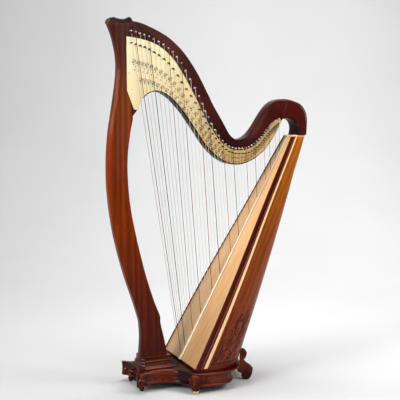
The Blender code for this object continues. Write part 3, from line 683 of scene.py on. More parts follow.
# The dark stops from -0.240 to -0.212 are painted shade for the deep recess behind the front lobe.
BASE_WOOD = wood("lacquered_base_mahogany", [
    (-0.45, 28, 4, 3), (-0.40, 50, 7, 3), (-0.36, 100, 14, 3), (-0.265, 105, 15, 3),
    (-0.240, 22, 3, 2), (-0.212, 24, 3, 2), (-0.190, 70, 10, 4), (-0.05, 120, 22, 9),
    (0.15, 95, 16, 6),
], 0, ALONG_BASE, wear=1.2, coat=0.34)
FOOT_WOOD = wood("lacquered_foot_mahogany", [
    (0.0, 36, 4, 2), (0.05, 50, 6, 3), (0.09, 105, 16, 4), (0.16, 50, 8, 3),
], grain=(1, 1, 0.3), wear=0.9, coat=0.34)
CAP_WOOD = wood("dark_head_mahogany", [
    (1.795, 50, 13, 10), (1.806, 30, 12, 11), (1.830, 16, 12, 12),
], grain=ALONG_NECK, coat=0.35)
DARK_STRIP = wood("dark_edge_mahogany", [(0.10, 40, 3, 2), (1.25, 55, 6, 2)],
                  grain=(1, 1, 0.04), turn=LEAN, coat=0.2)
BROWN_STRIP = wood("brown_edge_mahogany", [(0.10, 105, 20, 6), (1.25, 175, 38, 8)],
                   grain=(1, 1, 0.04), turn=LEAN, coat=0.2)
SPRUCE = pale_wood("soundboard_spruce", (640, 325, 128), (820, 475, 205), (930, 590, 290),
                   240, 0.55)
MAPLE = pale_wood("edge_maple", (800, 470, 210), (900, 570, 280), (950, 660, 370))
RIB_WOOD = pale_wood("rib_maple", (500, 380, 240), (660, 530, 360), (800, 680, 480))
# The plate's slope turns it from pale cream to deep gold across it: a painted reflection of the
# bright studio on one side.
BRASS_PLATE = metal("brushed_plate_brass", (990, 900, 600), (800, 500, 120), (0.34, 0.50),
                    (0.05, 1, 1), (0.60, -0.80, -1.56, -0.92))
BRASS = metal("worn_brass", (860, 660, 320), (600, 400, 150), (0.18, 0.38))
AGED_BRASS = metal("aged_brass", (460, 270, 100), (200, 100, 35), (0.25, 0.42))
DISC_BRASS = metal("disc_brass", (880, 760, 520), (620, 460, 240))
STEEL = metal("polished_pin_steel", (660, 660, 670), (360, 360, 380), (0.10, 0.24))
# Dark steel for screws and nuts, also used as painted shade: the rings round the discs, the bass
# fork pins and the front glides.
DARK_STEEL_AND_SHADE = metal("dark_steel_and_painted_shade", (50, 42, 36), (20, 17, 14), (0.28, 0.45))
WIRE = filament("wound_wire", (400, 380, 360), (720, 700, 680), 1.0, (0.3, 0.45), 1400, 0.5)
RED_WIRE = filament("wound_wire_red", (140, 30, 20), (300, 80, 50), 0.6, (0.3, 0.45), 1400, 0.5)
GUT = filament("natural_gut", (460, 440, 410), (700, 680, 650))
RED_GUT = filament("red_gut", (180, 14, 12), (320, 34, 26))
BLACK_GUT = filament("black_gut", (5, 5, 7), (18, 18, 24))
SILK = filament("red_silk_winding", (140, 6, 12), (300, 14, 26), rough=(0.5, 0.7))
FELT = felt("pedal_felt", (100, 12, 14), (200, 30, 30))


def string_material(i):
    kind = (i - 2) % 7
    if kind == 0:
        return RED_WIRE if i <= WOUND else RED_GUT
    if kind == 3:
        return BLACK_GUT
    return WIRE if i <= WOUND else GUT


# ---------------------------------------------------------------- column and its head

def column_middle(z):
    return float(np.interp(z, *COLUMN_MIDDLE))


def build_column():
    rings = []
    for z, front, back in smooth(COLUMN, 6):
        back = min(back, NECK_JOINT) if z > JOINT_BOTTOM else back
        half = [(front, COLUMN_NOSE), (front + 0.0062, 0.0246), (front + 0.0072, 0.0240),
                (front + 0.0084, 0.0252), (front + 0.0155, COLUMN_HALF),
                (back - 0.0065, COLUMN_HALF), (back, 0.0245)]
        rings.append(level(rounded(mirrored(half, column_middle(z)), 0.0012), z))
    make_loft("column_shaft", rings, COLUMN_WOOD, "column_wood", "column", 28)


def build_cap():
    front, bottom, widening = -0.5390, 1.7962, 0.0215
    middle = column_middle(1.8)
    rings = []
    for x, top in smooth(CAP_TOP, 4):
        x = min(x, NECK_JOINT)
        reach = max(0.0, min(x - front, widening)) / widening
        half = COLUMN_NOSE + (COLUMN_HALF - COLUMN_NOSE) * reach ** 0.8
        edge = min(0.006, (top - bottom) * 0.8)
        side = [(bottom, half), (top - edge, half), (top - edge * 0.55, half - 0.0015),
                (top, half - 0.0055)]
        rings.append([(x, y, z) for z, y in mirrored(side, middle)])
    make_loft("column_head", rings, CAP_WOOD, "neck_wood", "column_cap", 32)


# ---------------------------------------------------------------- neck, plates and action

def arc(centre, start, end, steps):
    """Quarter round from start to end about their shared centre, in (along, y)."""
    return [tuple(c + (s - c) * math.cos(t) + (e - c) * math.sin(t)
                  for c, s, e in zip(centre, start, end))
            for t in (0.5 * math.pi * share for share in shares(steps))]


def neck_ring(row, upper_x, upper_z, lower_x, lower_z):
    rows, near, far = zip(*SHOULDER)
    y0, y1 = float(np.interp(row, rows, near)), float(np.interp(row, rows, far))
    upper, lower = Vector((upper_x, 0, upper_z)), Vector((lower_x, 0, lower_z))
    length = (upper - lower).length
    up = (upper - lower) / length
    grow = min(1.0, max(0.0, (row - 25) / 6))
    ru, rl = 0.007 + 0.020 * grow, 0.004 + 0.006 * grow
    outline = [(rl, y0), (length * 0.5, y0)]
    outline += arc((length - ru, y0 + ru), (length - ru, y0), (length, y0 + ru), 5)
    outline += arc((length - ru, y1 - ru), (length, y1 - ru), (length - ru, y1), 5)
    outline += [(length * 0.5, y1)]
    outline += arc((rl, y1 - rl), (rl, y1), (0, y1 - rl), 4)
    outline += arc((rl, y0 + rl), (0, y0 + rl), (rl, y0), 4)[:-1]
    return [lower + up * a + ALONG_Y * y for a, y in outline]


def build_neck():
    rings = [neck_ring(*row) for row in smooth([(i, *row) for i, row in enumerate(NECK)], 4)]
    sides, under = len(rings[0]), 9
    shape = Shape()
    # The nine underside edges take the darker underside wood: painted shade under the neck.
    shape.loft(rings, edge_mats=[0] * (sides - under) + [1] * under)
    shape.make("neck_body", [NECK_WOOD, NECK_UNDERSIDE_SHADE], "neck_wood", "neck", sharp=40)


def build_collar():
    """The pale moulding that crowns the body where the neck comes down to it."""
    rings = [[(x, y, z) for x, y, _ in front_moved(body_ring(1.2460, -out, 30), 0.012)]
             for z, out in mm([(1244, 0.8), (1244.6, 2.2), (1247, 3.4), (1250, 3.6), (1252, 2.6),
                               (1252.8, 0.8)])]
    make_loft("shoulder_collar_moulded", rings, MAPLE, "maple", "shoulder_collar", 50)


def screw(shape, x, y, z, out, radius, mat=0, slot_mat=1, turn=0.6):
    """A domed slotted screw head on a face whose outward direction is out along Y."""
    shape.turned((x, y, z), ALONG_Y * out, [
        (0, radius), (0.0006, radius), (0.0011, radius * 0.86), (0.0015, radius * 0.5),
        (0.0016, 0.0002)], 14, mat)
    c, s = math.cos(turn), math.sin(turn)
    w, l = 0.0005, radius * 0.92
    shape.loft([[(x + a * c - b * s, y + out * depth, z + a * s + b * c)
                 for a, b in box_outline(-l, l, -w, w)] for depth in (0.0010, 0.00175)], slot_mat)


def build_plates():
    """A bevelled brass plate on each side of the neck, and the screws that hold them."""
    ring = [tuple(p) for line in (PLATE_UPPER, PLATE_LOWER) for p in smooth(line, 4)] + PLATE_HEEL
    bevel = 0.0006
    screws = Shape()
    for name, place, face, out in (("string", "near", NEAR_FACE - PLATE_GAP, -1),
                                   ("far", "far", FAR_FACE + PLATE_GAP, 1)):
        rings = [[(x, face + out * lift, z) for x, z in drawn_in(ring, inset)]
                 for lift, inset in ((0, 0), (PLATE - bevel, 0), (PLATE, bevel))]
        make_loft(f"action_plate_{name}_side", rings, BRASS_PLATE, "brass",
                  f"action_plate_{place}", 30)
        size, turn = (0.0026, 0.7) if out < 0 else (0.0030, 1.1)
        for k, (x, z) in enumerate(PLATE_SCREWS):
            screw(screws, x, face + out * PLATE, z, out, size, turn=turn * k)
    screws.make("plate_screws", [BRASS, DARK_STEEL_AND_SHADE], "brass")


def add_pin(shape, i):
    """A tapered tuning pin through the neck: rounded tip with its winding, squared far end."""
    p, r, wire = point_at(PINS, i), pin_radius(i), string_radius(i)
    tip, turns = -0.0090, 3.6
    emerges = FAR_FACE - tip + 0.008
    shape.turned((p.x, tip, p.z), ALONG_Y, [
        (0, 0.0004), (0.0006, r * 0.62), (0.0016, r * 0.88), (0.0030, r * 0.94),
        (0.0072, r * 0.94), (0.0082, r * 0.74), (0.0100, r * 0.74), (0.0110, r), (0.0300, r),
        (emerges, r), (emerges + 0.0006, r * 0.8)])
    shape.loft([[(p.x + a, FAR_FACE + y, p.z + b) for a, b in box_outline(-half, half, -half, half)]
                for y, half in ((0.0080, 0.0027), (0.0205, 0.0023), (0.0218, 0.0016))])
    steps, reach = int(turns * 14), r * 0.80 + wire
    coil = []
    for t in shares(steps):
        angle = 2 * math.pi * turns * t
        coil.append((p.x + reach * math.cos(angle), wire * 2.05 * turns * (1 - t),
                     p.z - reach * math.sin(angle)))
    shape.tube(coil, wire, 6, 1)


def build_pins():
    rest = {}
    for i in range(1, STRINGS + 1):
        material = string_material(i)
        if i in ACTION:
            shape, name = Shape(), f"tuning_pin_{i}"
            add_pin(shape, i)
            shape.make(f"{name}_turned", [STEEL, material], "steel", name, body=name)
        else:
            add_pin(rest.setdefault(material.name, (Shape(), material))[0], i)
    for name, (shape, material) in rest.items():
        shape.make(f"tuning_pins_{name}", [STEEL, material], "steel")
    silk = Shape()
    for i in (1, 2):
        p = point_at(PINS, i)
        start, end = p + Vector((0.0042, 0, -0.004)), point_at(NUTS, i)
        silk.tube([start.lerp(end, t) for t in np.linspace(0.0, 0.20, 40)],
                  [0.0019 + 0.00022 * math.sin(2.2 * k) for k in range(40)])
        silk.turned((p.x, -0.0045, p.z), ALONG_Y,
                    mm([(0, 3.8), (0.8, 5), (6, 5), (6.8, 3.8)]), 18)
    silk.make("silk_windings", [SILK])


def build_nuts():
    shape = Shape()
    for i in range(1, STRINGS + 1):
        p, groove, size = point_at(NUTS, i), string_radius(i), disc_radius(i) / BASS_DISC
        r = 0.0034 * (0.6 + 0.4 * size)
        centre = (p.x, PLATE_FRONT, p.z - 0.0002) if i < 3 else (p.x - r * 0.2, PLATE_FRONT, p.z)
        shape.turned(centre, AGAINST_Y, [
            (0, r * 1.15), (0.0016, r * 1.15), (0.0020, r), (PLATE_FRONT - groove * 1.6, r),
            (PLATE_FRONT - groove * 0.2, r * 0.66), (PLATE_FRONT + groove * 1.2, r),
            (PLATE_FRONT + groove * 2.4, r), (PLATE_FRONT + groove * 3.0, r * 0.6)])
        if i < 3:
            continue
        tilt = math.radians(-38 if i < TREBLE else -20)
        along, across = (Vector((math.cos(tilt), 0, math.sin(tilt))),
                         Vector((-math.sin(tilt), 0, math.cos(tilt))))
        half, wide = 0.0092 * size, 0.0030 * size
        middle = p + along * 0.0035 * size
        outline = rounded(box_outline(-half, half, -wide, wide), 0.0028 * size, 4)
        shape.loft([[middle + (along * a + across * b) * shrink + ALONG_Y * (PLATE_FRONT - depth)
                     for a, b in outline]
                    for depth, shrink in ((0, 1), (0.0012, 1), (0.0016, 0.92))],
                   0 if i < TREBLE else 2)
        end = middle + along * half * 0.62
        screw(shape, end.x, PLATE_FRONT - 0.0014, end.z, -1, 0.0021 * size)
    shape.make("bridge_nuts", [DARK_STEEL_AND_SHADE, STEEL, AGED_BRASS], "steel")


def add_disc(shape, i, centre):
    """A fork disc at rest: a stepped brass disc, its screw, and the two pins round the string."""
    r = disc_radius(i)
    size = r / BASS_DISC
    front = PLATE_FRONT - DISC_GAP
    shape.turned((centre.x, front, centre.z), AGAINST_Y, [
        (-0.0008, r * 0.36), (0.0, r * 0.9), (0.0010, r * 0.9), (0.0014, r * 0.85),
        (0.0014, r * 0.70), (0.0011, r * 0.66), (0.0011, r * 0.40), (0.0011, 0.0003)], 24)
    screw(shape, centre.x, front - 0.0009, centre.z, -1, r * 0.36, 1, 0, 0.9 * i)
    along = Matrix.Rotation(FORK_TURN, 3, "Y") @ string_down(i)
    pin = FORK_PIN * (0.5 + 0.5 * size)
    # Below TREBLE the fork pins are dark steel: painted shade and dark reflection, for how dark
    # they look against the bright plate.
    for side in (-1, 1):
        p = centre + along * FORK_REACH * size * side
        shape.turned((p.x, front - 0.0008, p.z), AGAINST_Y, [
            (0, pin * 1.5), (0.0012, pin * 1.45), (0.0016, pin), (0.0120, pin),
            (0.0130, pin * 0.7), (0.0133, pin * 0.2)], 10, 1 if i < TREBLE else 2)


def add_regulators(shape, i, centre, drops):
    """Small dark adjusting screws set in the plate below a disc, along the string."""
    size = disc_radius(i) / BASS_DISC
    down = string_down(i)
    across = Vector((-down.z, 0, down.x)) * 0.0042 * size
    for k, drop in enumerate(drops):
        p = centre + down * drop + across * (1 if k % 2 else -1)
        screw(shape, p.x, PLATE_FRONT, p.z, -1, 0.0031 * size, 0 if i < TREBLE else 2, 1,
              1.3 * k + i)


def build_discs():
    rest, screws, shadow_rings = Shape(), Shape(), Shape()
    forked = [DISC_BRASS, DARK_STEEL_AND_SHADE, AGED_BRASS]
    for i in range(1, STRINGS + 1):
        nut, foot, r = point_at(NUTS, i), foot_point(i), disc_radius(i)
        gap = (SHARP_SHARE - NATURAL_SHARE) * (foot - nut).length
        for kind, share in (("natural", NATURAL_SHARE), ("sharp", SHARP_SHARE)):
            if i == 1 and kind == "sharp":
                continue
            centre = nut.lerp(foot, share)
            # A thin dark ring on the plate round each disc: painted shadow, for the shade and the
            # dark gap about the disc.
            shadow_rings.turned((centre.x, PLATE_FRONT + 0.0001, centre.z), AGAINST_Y,
                         [(0, r * 1.20), (0.0003, r * 1.19), (0.0003, r * 0.93)], 24,
                         0 if i < TREBLE else 1)
            if i in ACTION:
                shape, name = Shape(), f"{kind}_disc_{i}"
                add_disc(shape, i, centre)
                shape.make(f"{name}_forked", forked, "brass", name, body=name)
            else:
                add_disc(rest, i, centre)
            if gap > 0.040:
                drops = (0.0145, 0.027, 0.040) if kind == "natural" else (0.0145,)
            else:
                drops = (r * 1.9,) if gap > r * 3.4 else ()
            add_regulators(screws, i, centre, drops)
    rest.make("fork_discs_fixed", forked, "brass")
    screws.make("regulating_screws", [DARK_STEEL_AND_SHADE, BRASS, AGED_BRASS], "steel")
    shadow_rings.make("disc_shadow_rings", [DARK_STEEL_AND_SHADE, AGED_BRASS], "steel", sharp=50)


def build_strings():
    first_of = {1: ["wire_strings"], WOUND + 1: ["gut_strings_low"], 31: ["gut_strings_high"]}
    eyelets = Shape()
    across_board = Vector((-1, 0, BOARD_LEAN)).normalized()
    for i in range(1, STRINGS + 1):
        nut, foot, wire = point_at(NUTS, i), foot_point(i), string_radius(i)
        start = point_at(PINS, i) + Vector((pin_radius(i) * 0.80 + wire, 0, 0))
        over = nut + Vector((wire * 0.4, 0, 0))
        shape = Shape()
        shape.tube([start, start.lerp(over, 0.5), over, over.lerp(foot, 0.02),
                    over.lerp(foot, 0.5), foot + string_down(i) * 0.0016], wire, 10)
        shape.make(f"string_{i:02d}", [string_material(i)], "wire" if i <= WOUND else "gut",
                   *first_of.get(i, ()))
        seat = Vector((board_x(foot.z) - RIB_RISE, 0, foot.z)) - across_board * 0.0008
        size = 0.7 + 500 * wire
        eyelets.turned(seat, across_board, [(0, 0.0026 * size), (0.0014, 0.0026 * size),
                                            (0.0021, 0.0021 * size), (0.0021, 0.0012 * size)], 14)
    eyelets.make("string_eyelets", [BRASS], "brass")


# ---------------------------------------------------------------- soundbox, board and strips

def side_depth(z):
    share = (z - BOARD_BOTTOM) / (BOARD_TOP - BOARD_BOTTOM)
    return STRIP_DEPTH[1] + (STRIP_DEPTH[0] - STRIP_DEPTH[1]) * share


def body_at(z):
    """Half width, x of the sides' front edge, x where the back's curve starts, x of the back."""
    half, back = curve_at(BODY, z)
    front = board_x(z) + BOARD_THICK + BOARD_GAP
    return half, front, front + side_depth(z), back


def body_ring(z, inset, steps=18):
    half, front, start, back = body_at(z)
    half -= inset
    ring = [(front, half, z)]
    for turn in (math.pi / 2 - math.pi * k / steps for k in range(steps + 1)):
        x = start + (back - inset - start) * max(0.0, math.cos(turn)) ** BACK_BEND
        y = half * math.copysign(abs(math.sin(turn)) ** SIDE_BEND, math.sin(turn))
        ring.append((x, y, z))
    return ring + [(front, -half, z)]


def front_moved(ring, by):
    """A body ring whose two front corners stand further forward."""
    return [(x - (by if k in (0, len(ring) - 1) else 0), y, z) for k, (x, y, z) in enumerate(ring)]


def back_surface(y, z):
    """x of the body's outer surface at (y, z), on the back."""
    half, _, start, back = body_at(z)
    s = min(1.0, abs(y) / half) ** (1 / SIDE_BEND)
    return start + (back - start) * math.sqrt(max(0.0, 1 - s * s)) ** BACK_BEND


def body_walk(z, samples=160):
    """The near half of the level outline from the side's front edge to the back, with lengths."""
    half, _, start, back = body_at(z)
    turns = np.linspace(0, math.pi / 2, samples)
    x = start + (back - start) * np.maximum(0, np.sin(turns)) ** BACK_BEND
    y = half * np.maximum(0, np.cos(turns)) ** SIDE_BEND
    return x, y, np.concatenate([[0], np.cumsum(np.hypot(np.diff(x), np.diff(y)))])


def build_soundbox():
    inner, holes, rims = Shape(), Shape(), Shape()
    rings = [body_ring(z, 0.0, 48) for z in np.linspace(BOARD_TOP, BOARD_BOTTOM + 0.002, 60)]
    shell = make_loft("soundbox_shell", rings, BODY_WOOD, "body_wood", "soundbox", 30)
    inner.loft([front_moved(body_ring(z, 0.009, 30), 0.05)
                for z in np.linspace(BOARD_TOP - 0.030, BOARD_BOTTOM + 0.020, 24)])
    for z, tall, wide in SOUND_HOLES:
        back = curve_at(BODY, z)[1]
        holes.loft([[(x, wide * c, z + tall * s) for c, s in circle(48)]
                    for x in (back - 0.09, back + 0.05)])
        bead = [(wide * 1.03 * c, z + (tall + 0.001) * s) for c, s in circle(48)]
        rims.tube([(back_surface(y, h) + 0.0004, y, h) for y, h in bead + bead[:1]], 0.0032)
    carve_with(shell, [inner.cutter("cavity"), holes.cutter("holes")])
    rims.make("sound_hole_beads", [DARK_STRIP], "body_wood")


def volute(cx, cz, radius, turns, start, hand):
    """A spiral in the panel's (along, up) plane, drawn from its rim to its eye."""
    steps = int(26 * turns)
    out = []
    for t in shares(steps):
        r = radius * (1 - t) ** 0.85 + 0.0022
        a = start + hand * 2 * math.pi * turns * t
        out.append((cx + r * math.cos(a), cz + r * math.sin(a)))
    return out


def leaf(x, z, length, angle, bend, width):
    """The two edges of one curling leaf."""
    sides = [[], []]
    for t in shares(14):
        a, middle = angle + bend * t, angle + bend * t * 0.5
        px, pz = x + length * t * math.cos(middle), z + length * t * math.sin(middle)
        w = width * math.sin(math.pi * t ** 0.8)
        for side, sign in zip(sides, (-1, 1)):
            side.append((px - sign * w * math.sin(a), pz + sign * w * math.cos(a)))
    return sides


def foliage():
    """Scrolling stem, volutes and leaves for one side panel, in metres along and up."""
    stem = [tuple(p) for p in smooth(mm([
        (20, 26), (46, 56), (74, 78), (108, 98), (138, 126), (154, 160), (150, 192), (134, 208),
    ]), 10)]
    twin = [(x + 0.007, z - 0.006) for x, z in stem]
    low = [tuple(p) for p in smooth(mm([(74, 78), (104, 74), (130, 62), (142, 44)]), 10)]
    curves = [stem, twin, low] + [volute(*row) for row in VOLUTES]
    for row in LEAVES:
        curves += leaf(*row)
    return curves


def groove_depths(along, up):
    """Depth of carving at each grid point, from the distance to the nearest cut line."""
    reach, wide = 0.006, 0.0017
    flat = np.stack([along.ravel(), up.ravel()], 1)
    best = np.full(len(flat), 9.0)
    for curve in foliage():
        line = np.array(curve) * FOLIAGE_SCALE
        for p, q in zip(line[:-1], line[1:]):
            low, high = np.minimum(p, q) - reach, np.maximum(p, q) + reach
            near = np.where(((flat > low) & (flat < high)).all(1))[0]
            if not len(near):
                continue
            d = q - p
            t = np.clip(((flat[near] - p) @ d) / max(d @ d, 1e-12), 0, 1)
            gap = np.linalg.norm(flat[near] - p - t[:, None] * d, axis=1) / wide
            best[near] = np.minimum(best[near], gap)
    gap = best.reshape(along.shape)
    return np.where(gap < 1.9, np.exp(-gap ** 2), 0.0)


def panel_grids(side, t_along, t_up):
    """Surface points, outward directions and (along, up) distances over one side panel."""
    shape = (len(t_up), len(t_along))
    along, up, base, normal = (np.zeros(shape + more) for more in ((), (), (3,), (3,)))
    for r, t in enumerate(t_up):
        z = PANEL_LOW + PANEL_TALL * t
        x, y, length = body_walk(z)
        s = PANEL_FIRST + (PANEL_WIDE - 0.055 * t) * t_along
        px, py = np.interp(s, length, x), np.interp(s, length, y)
        dx, dy = np.gradient(px), np.gradient(py)
        size = np.hypot(dx, dy)
        base[r] = np.stack([px, py * side, np.full_like(px, z)], 1)
        normal[r] = np.stack([-dy / size, dx / size * side, np.full_like(px, -0.25)], 1)
        along[r], up[r] = s - PANEL_FIRST, PANEL_TALL * t
    return along, up, base, normal / np.linalg.norm(normal, axis=2, keepdims=True)


def carved_panel(name, side):
    """A thin raised panel: a fine carved front and a coarse back, closed round the edges."""
    columns, rows, back_step = 156, 216, 6
    along, up, base, normal = panel_grids(side, np.linspace(0, 1, columns + 1),
                                          np.linspace(0, 1, rows + 1))
    cut = groove_depths(along, up)
    for line in BORDER_LINES:
        inside = (along > line - 0.003) & (up > line - 0.003)
        for gap in (along - line, up - line):
            cut = np.maximum(cut, np.where(inside, np.exp(-(gap / BORDER_WIDTH) ** 2), 0))
    cut *= np.clip((PANEL_TALL - up) / 0.02, 0, 1)
    raised = PANEL_RAISED * np.clip((PANEL_TALL - up) / 0.03, 0, 1) + 0.0001
    front = base + normal * (raised - PANEL_CUT * cut)[:, :, None]
    behind = (base - normal * PANEL_BACK)[::back_step, ::back_step]
    shape = Shape()
    wide, back_wide = columns + 1, columns // back_step + 1
    start, back_rows = front[..., 0].size, rows // back_step
    shape.points = [Vector(p) for grid in (front, behind) for p in grid.reshape(-1, 3)]
    for a in (r * wide + c for r in range(rows) for c in range(columns)):
        shape.face((a, a + 1, a + wide + 1, a + wide))
    for a in (start + r * back_wide + c for r in range(back_rows) for c in range(back_wide - 1)):
        shape.face((a, a + back_wide, a + back_wide + 1, a + 1))
    for c in range(back_wide - 1):
        fine = range(c * back_step, (c + 1) * back_step + 1)
        shape.face([*fine, start + c + 1, start + c])
        top = start + back_rows * back_wide + c
        shape.face([*(rows * wide + k for k in reversed(fine)), top, top + 1])
    for r in range(back_rows):
        fine = range(r * back_step, (r + 1) * back_step + 1)
        left = start + r * back_wide
        shape.face([*(k * wide for k in reversed(fine)), left, left + back_wide])
        right = left + back_wide - 1
        shape.face([*(k * wide + columns for k in fine), right + back_wide, right])
    obj = shape.make(name, [BODY_WOOD], "body_wood", sharp=60, weld=False)
    # The carve values are stored for BODY_WOOD, which paints shade into the grooves from them.
    values = np.zeros(len(obj.data.vertices), np.float32)
    values[:cut.size] = cut.ravel()
    obj.data.attributes.new("carve", "FLOAT", "POINT").data.foreach_set("value", values)


def build_board():
    rings = []
    for z in np.linspace(BOARD_BOTTOM, BOARD_TOP, 50):
        half, x = curve_at(BODY, z)[0], board_x(z)
        rings.append(level(rounded(box_outline(x, x + BOARD_THICK, -half, half), 0.0008, 2), z))
    make_loft("soundboard_panel", rings, SPRUCE, "spruce", "soundboard")
    rings = []
    for z in np.linspace(BOARD_BOTTOM + 0.001, BOARD_TOP - 0.002, 40):
        w = 0.0130 - 0.0052 * (z - BOARD_BOTTOM) / (BOARD_TOP - BOARD_BOTTOM)
        side = [(0.0002, w), (RIB_RISE * 0.45, w), (RIB_RISE, w * 0.55)]
        rings.append(level(rounded([(board_x(z) - rise, y) for rise, y in mirrored(side)],
                                   0.0016), z))
    make_loft("string_rib_moulded", rings, RIB_WOOD, "maple", "string_rib", 30)


def strip(shape, side, heights, span, profile):
    """A moulding along one side of the body. span is its start and end as shares of the side."""
    rings = []
    for z in heights:
        board, depth = board_x(z), side_depth(z)
        first, last = (board + BOARD_THICK + share * depth for share in span)
        if span[0] == 0:
            first = board - BOARD_GAP
        rings.append([(first + (last - first) * s, side * (curve_at(BODY, z)[0] + out), z)
                      for s, out in profile])
    shape.loft(rings)


def build_strips():
    heights = np.linspace(BOARD_BOTTOM + 0.001, BOARD_TOP - 0.001, 60)
    for place, side in SIDES:
        dark, brown, pale = Shape(), Shape(), Shape()
        dark.loft([[(board_x(z) + a, side * (curve_at(BODY, z)[0] + b), z)
                    for a, b in LIP_SECTION] for z in heights])
        for shape, span, profile in ((dark, (0, 0.32), DARK_PROFILE),
                                     (brown, (0.325, 0.625), BROWN_PROFILE),
                                     (brown, (0.985, 1.075), THIN_PROFILE),
                                     (pale, (0.63, 0.98), PALE_PROFILE)):
            strip(shape, side, heights, span, profile)
        dark.make(f"dark_edge_strip_{place}", [DARK_STRIP], "body_wood")
        brown.make(f"brown_edge_strip_{place}", [BROWN_STRIP], "body_wood")
        pale.make(f"pale_edge_strip_{place}", [MAPLE], "maple", f"edge_moulding_{place}")


# ---------------------------------------------------------------- base, plinth and feet

def base_outline():
    return smooth_closed(BASE_PLAN + [(x, -y) for x, y in BASE_PLAN[-2:0:-1]], 6)


def eased(value, low, high):
    t = min(1.0, max(0.0, (value - low) / (high - low)))
    return t * t * (3 - 2 * t)


def tucked(x, share):
    start, least = BASE_TUCK
    return x if x < start else start + (x - start) * (1 - (1 - least) * share)


def build_base():
    """The low platform: a crisp moulded drum behind, a softer leaf-shouldered waist in front."""
    unit = 0.001
    plan = base_outline()
    away = [(Vector(b) - Vector(a)) / unit for a, b in zip(drawn_in(plan, unit), plan)]
    waist = [eased(-p[0], 0.222, 0.250) * eased(p[0], -0.440, -0.425)
             * eased(abs(o.y), 0.3, 0.7) for p, o in zip(plan, away)]
    reach = [1 - 0.72 * eased(-p[0], 0.405, 0.440) for p in plan]
    soft = np.array(WAIST_WALL)
    places = np.linspace(0, len(soft) - 1, len(DRUM_WALL))
    soft = [np.interp(places, range(len(soft)), soft[:, c]) for c in (0, 1)]
    rings = []
    for (z, inset, share), soft_z, soft_inset in zip(DRUM_WALL, *soft):
        ring = []
        for p, o, w, r in zip(plan, away, waist, reach):
            inward = (inset * (1 - w) + soft_inset * w) * r
            ring.append((tucked(p[0] - o.x * inward, share), p[1] - o.y * inward,
                         z * (1 - w) + soft_z * w))
        rings.append(ring)
    shape, slots = Shape(), Shape()
    shape.loft(rings)
    base = shape.make("base_moulded", [BASE_WOOD, SHADED_WOOD], "base_wood", "base", sharp=38)
    for _, y, _ in PEDALS:
        outline = box_outline(-0.01, 0.25, y - 0.0065, y + 0.0065)
        slots.loft([level(outline, z) for z in (0.010, 0.072)])
    carve_with(base, [slots.cutter("slots")])
    # The top faces under the body take SHADED_WOOD: painted shade for the cove there.
    for face in base.data.polygons:
        if face.center.z > BASE_TOP - 0.0005:
            face.material_index = 1


def build_plinth():
    corner = 0.018
    rings = []
    for z, out in PLINTH_LEVELS:
        x0, x1, y0, y1 = -0.398 - out * 0.3, -0.250 + out, -0.038 - out, 0.062 + out
        outline = [(x0 + corner, y0), (x1, y0), (x1, y1), (x0 + corner, y1), (x0, y1 - corner),
                   (x0, y0 + corner)]
        rings.append(level(rounded(outline, 0.0022), z))
    make_loft("plinth_moulded", rings, BASE_WOOD, "base_wood", "column_plinth", 34)


def scroll_slab(shape, outline, place, half, edge=0.0035):
    """A sawn scroll with rounded arrises. place turns (out, across, up) into a point."""
    ring = smooth_closed(outline, 5)
    area = sum(a[0] * b[1] - b[0] * a[1] for a, b in zip(ring, ring[1:] + ring[:1]))
    inwards = math.copysign(1, area)
    side = [(half, edge), (half - edge * 0.35, edge * 0.35), (half - edge, 0.0)]
    levels = [(-y, inset) for y, inset in side] + side[::-1]
    shape.loft([[place(u, y, z) for u, z in drawn_in(ring, inwards * inset)]
                for y, inset in levels])


def spiral_bead(shape, centre, right, out, radius, turns, thick, start=1.0, hand=1):
    """A carved volute: a tapering bead wound inwards on a surface, with a round eye."""
    path, radii = [], []
    steps = int(22 * turns)
    for t in shares(steps):
        r = radius * (1 - t) ** 0.9 + thick * 0.6
        a = start + hand * 2 * math.pi * turns * t
        path.append(centre + right * r * math.cos(a) + UP * r * math.sin(a)
                    + out * thick * 0.3 * t)
        radii.append(thick * (1 - 0.35 * t))
    shape.tube(path, radii)
    shape.turned(centre - out * thick, out,
                 [(0, thick), (thick * 1.2, thick), (thick * 1.9, thick * 0.7),
                  (thick * 2.2, thick * 0.1)], 12)


def leaf_bead(shape, start, heading, out, length, width, curl):
    """One carved acanthus lobe: a flattened tapering form lying on a surface."""
    across = out.cross(heading).normalized()
    rings = []
    for t in shares(8):
        turn = Matrix.Rotation(curl * t, 3, out)
        centre = start + (heading + turn @ heading) * 0.5 * length * t
        w = width * max(0.05, math.sin(math.pi * min(1.0, t * 0.94 + 0.06)) ** 0.8)
        rings.append([centre + turn @ across * w * c + out * w * 0.55 * s for c, s in circle(10)])
    shape.loft(rings)


def glide_cup(name, centre, radius, height, material=BRASS):
    """A small metal cup under a foot. It replaces the CAD one of the same place."""
    foot, place = name.split("_")
    shape = Shape()
    shape.turned((centre.x, centre.y, 0.0), UP,
                 [(0.0, radius * 0.70), (0.0004, radius * 0.86), (height * 0.25, radius * 0.98),
                  (height * 0.55, radius), (height * 0.75, radius * 1.06),
                  (height * 0.9, radius * 1.06), (height, radius * 0.98)], 28)
    shape.make(f"{foot}_glide_{place}", [material], "brass", f"glide_{name}")


def side_frame(x, side):
    """A point on the base's side at x, with directions along it and outwards."""
    step = 0.004
    xs, ys = zip(*sorted(p for p in base_outline() if p[1] > 0.05 and p[0] > -0.455))
    before, y, after = np.interp((x - step, x, x + step), xs, ys)
    slope = float(after - before) / (2 * step)
    out = Vector((-slope, side, 0)).normalized()
    along = Vector((1, side * slope, 0)).normalized()
    return Vector((x, side * y, 0)) - out * WALL_INSET, along, out


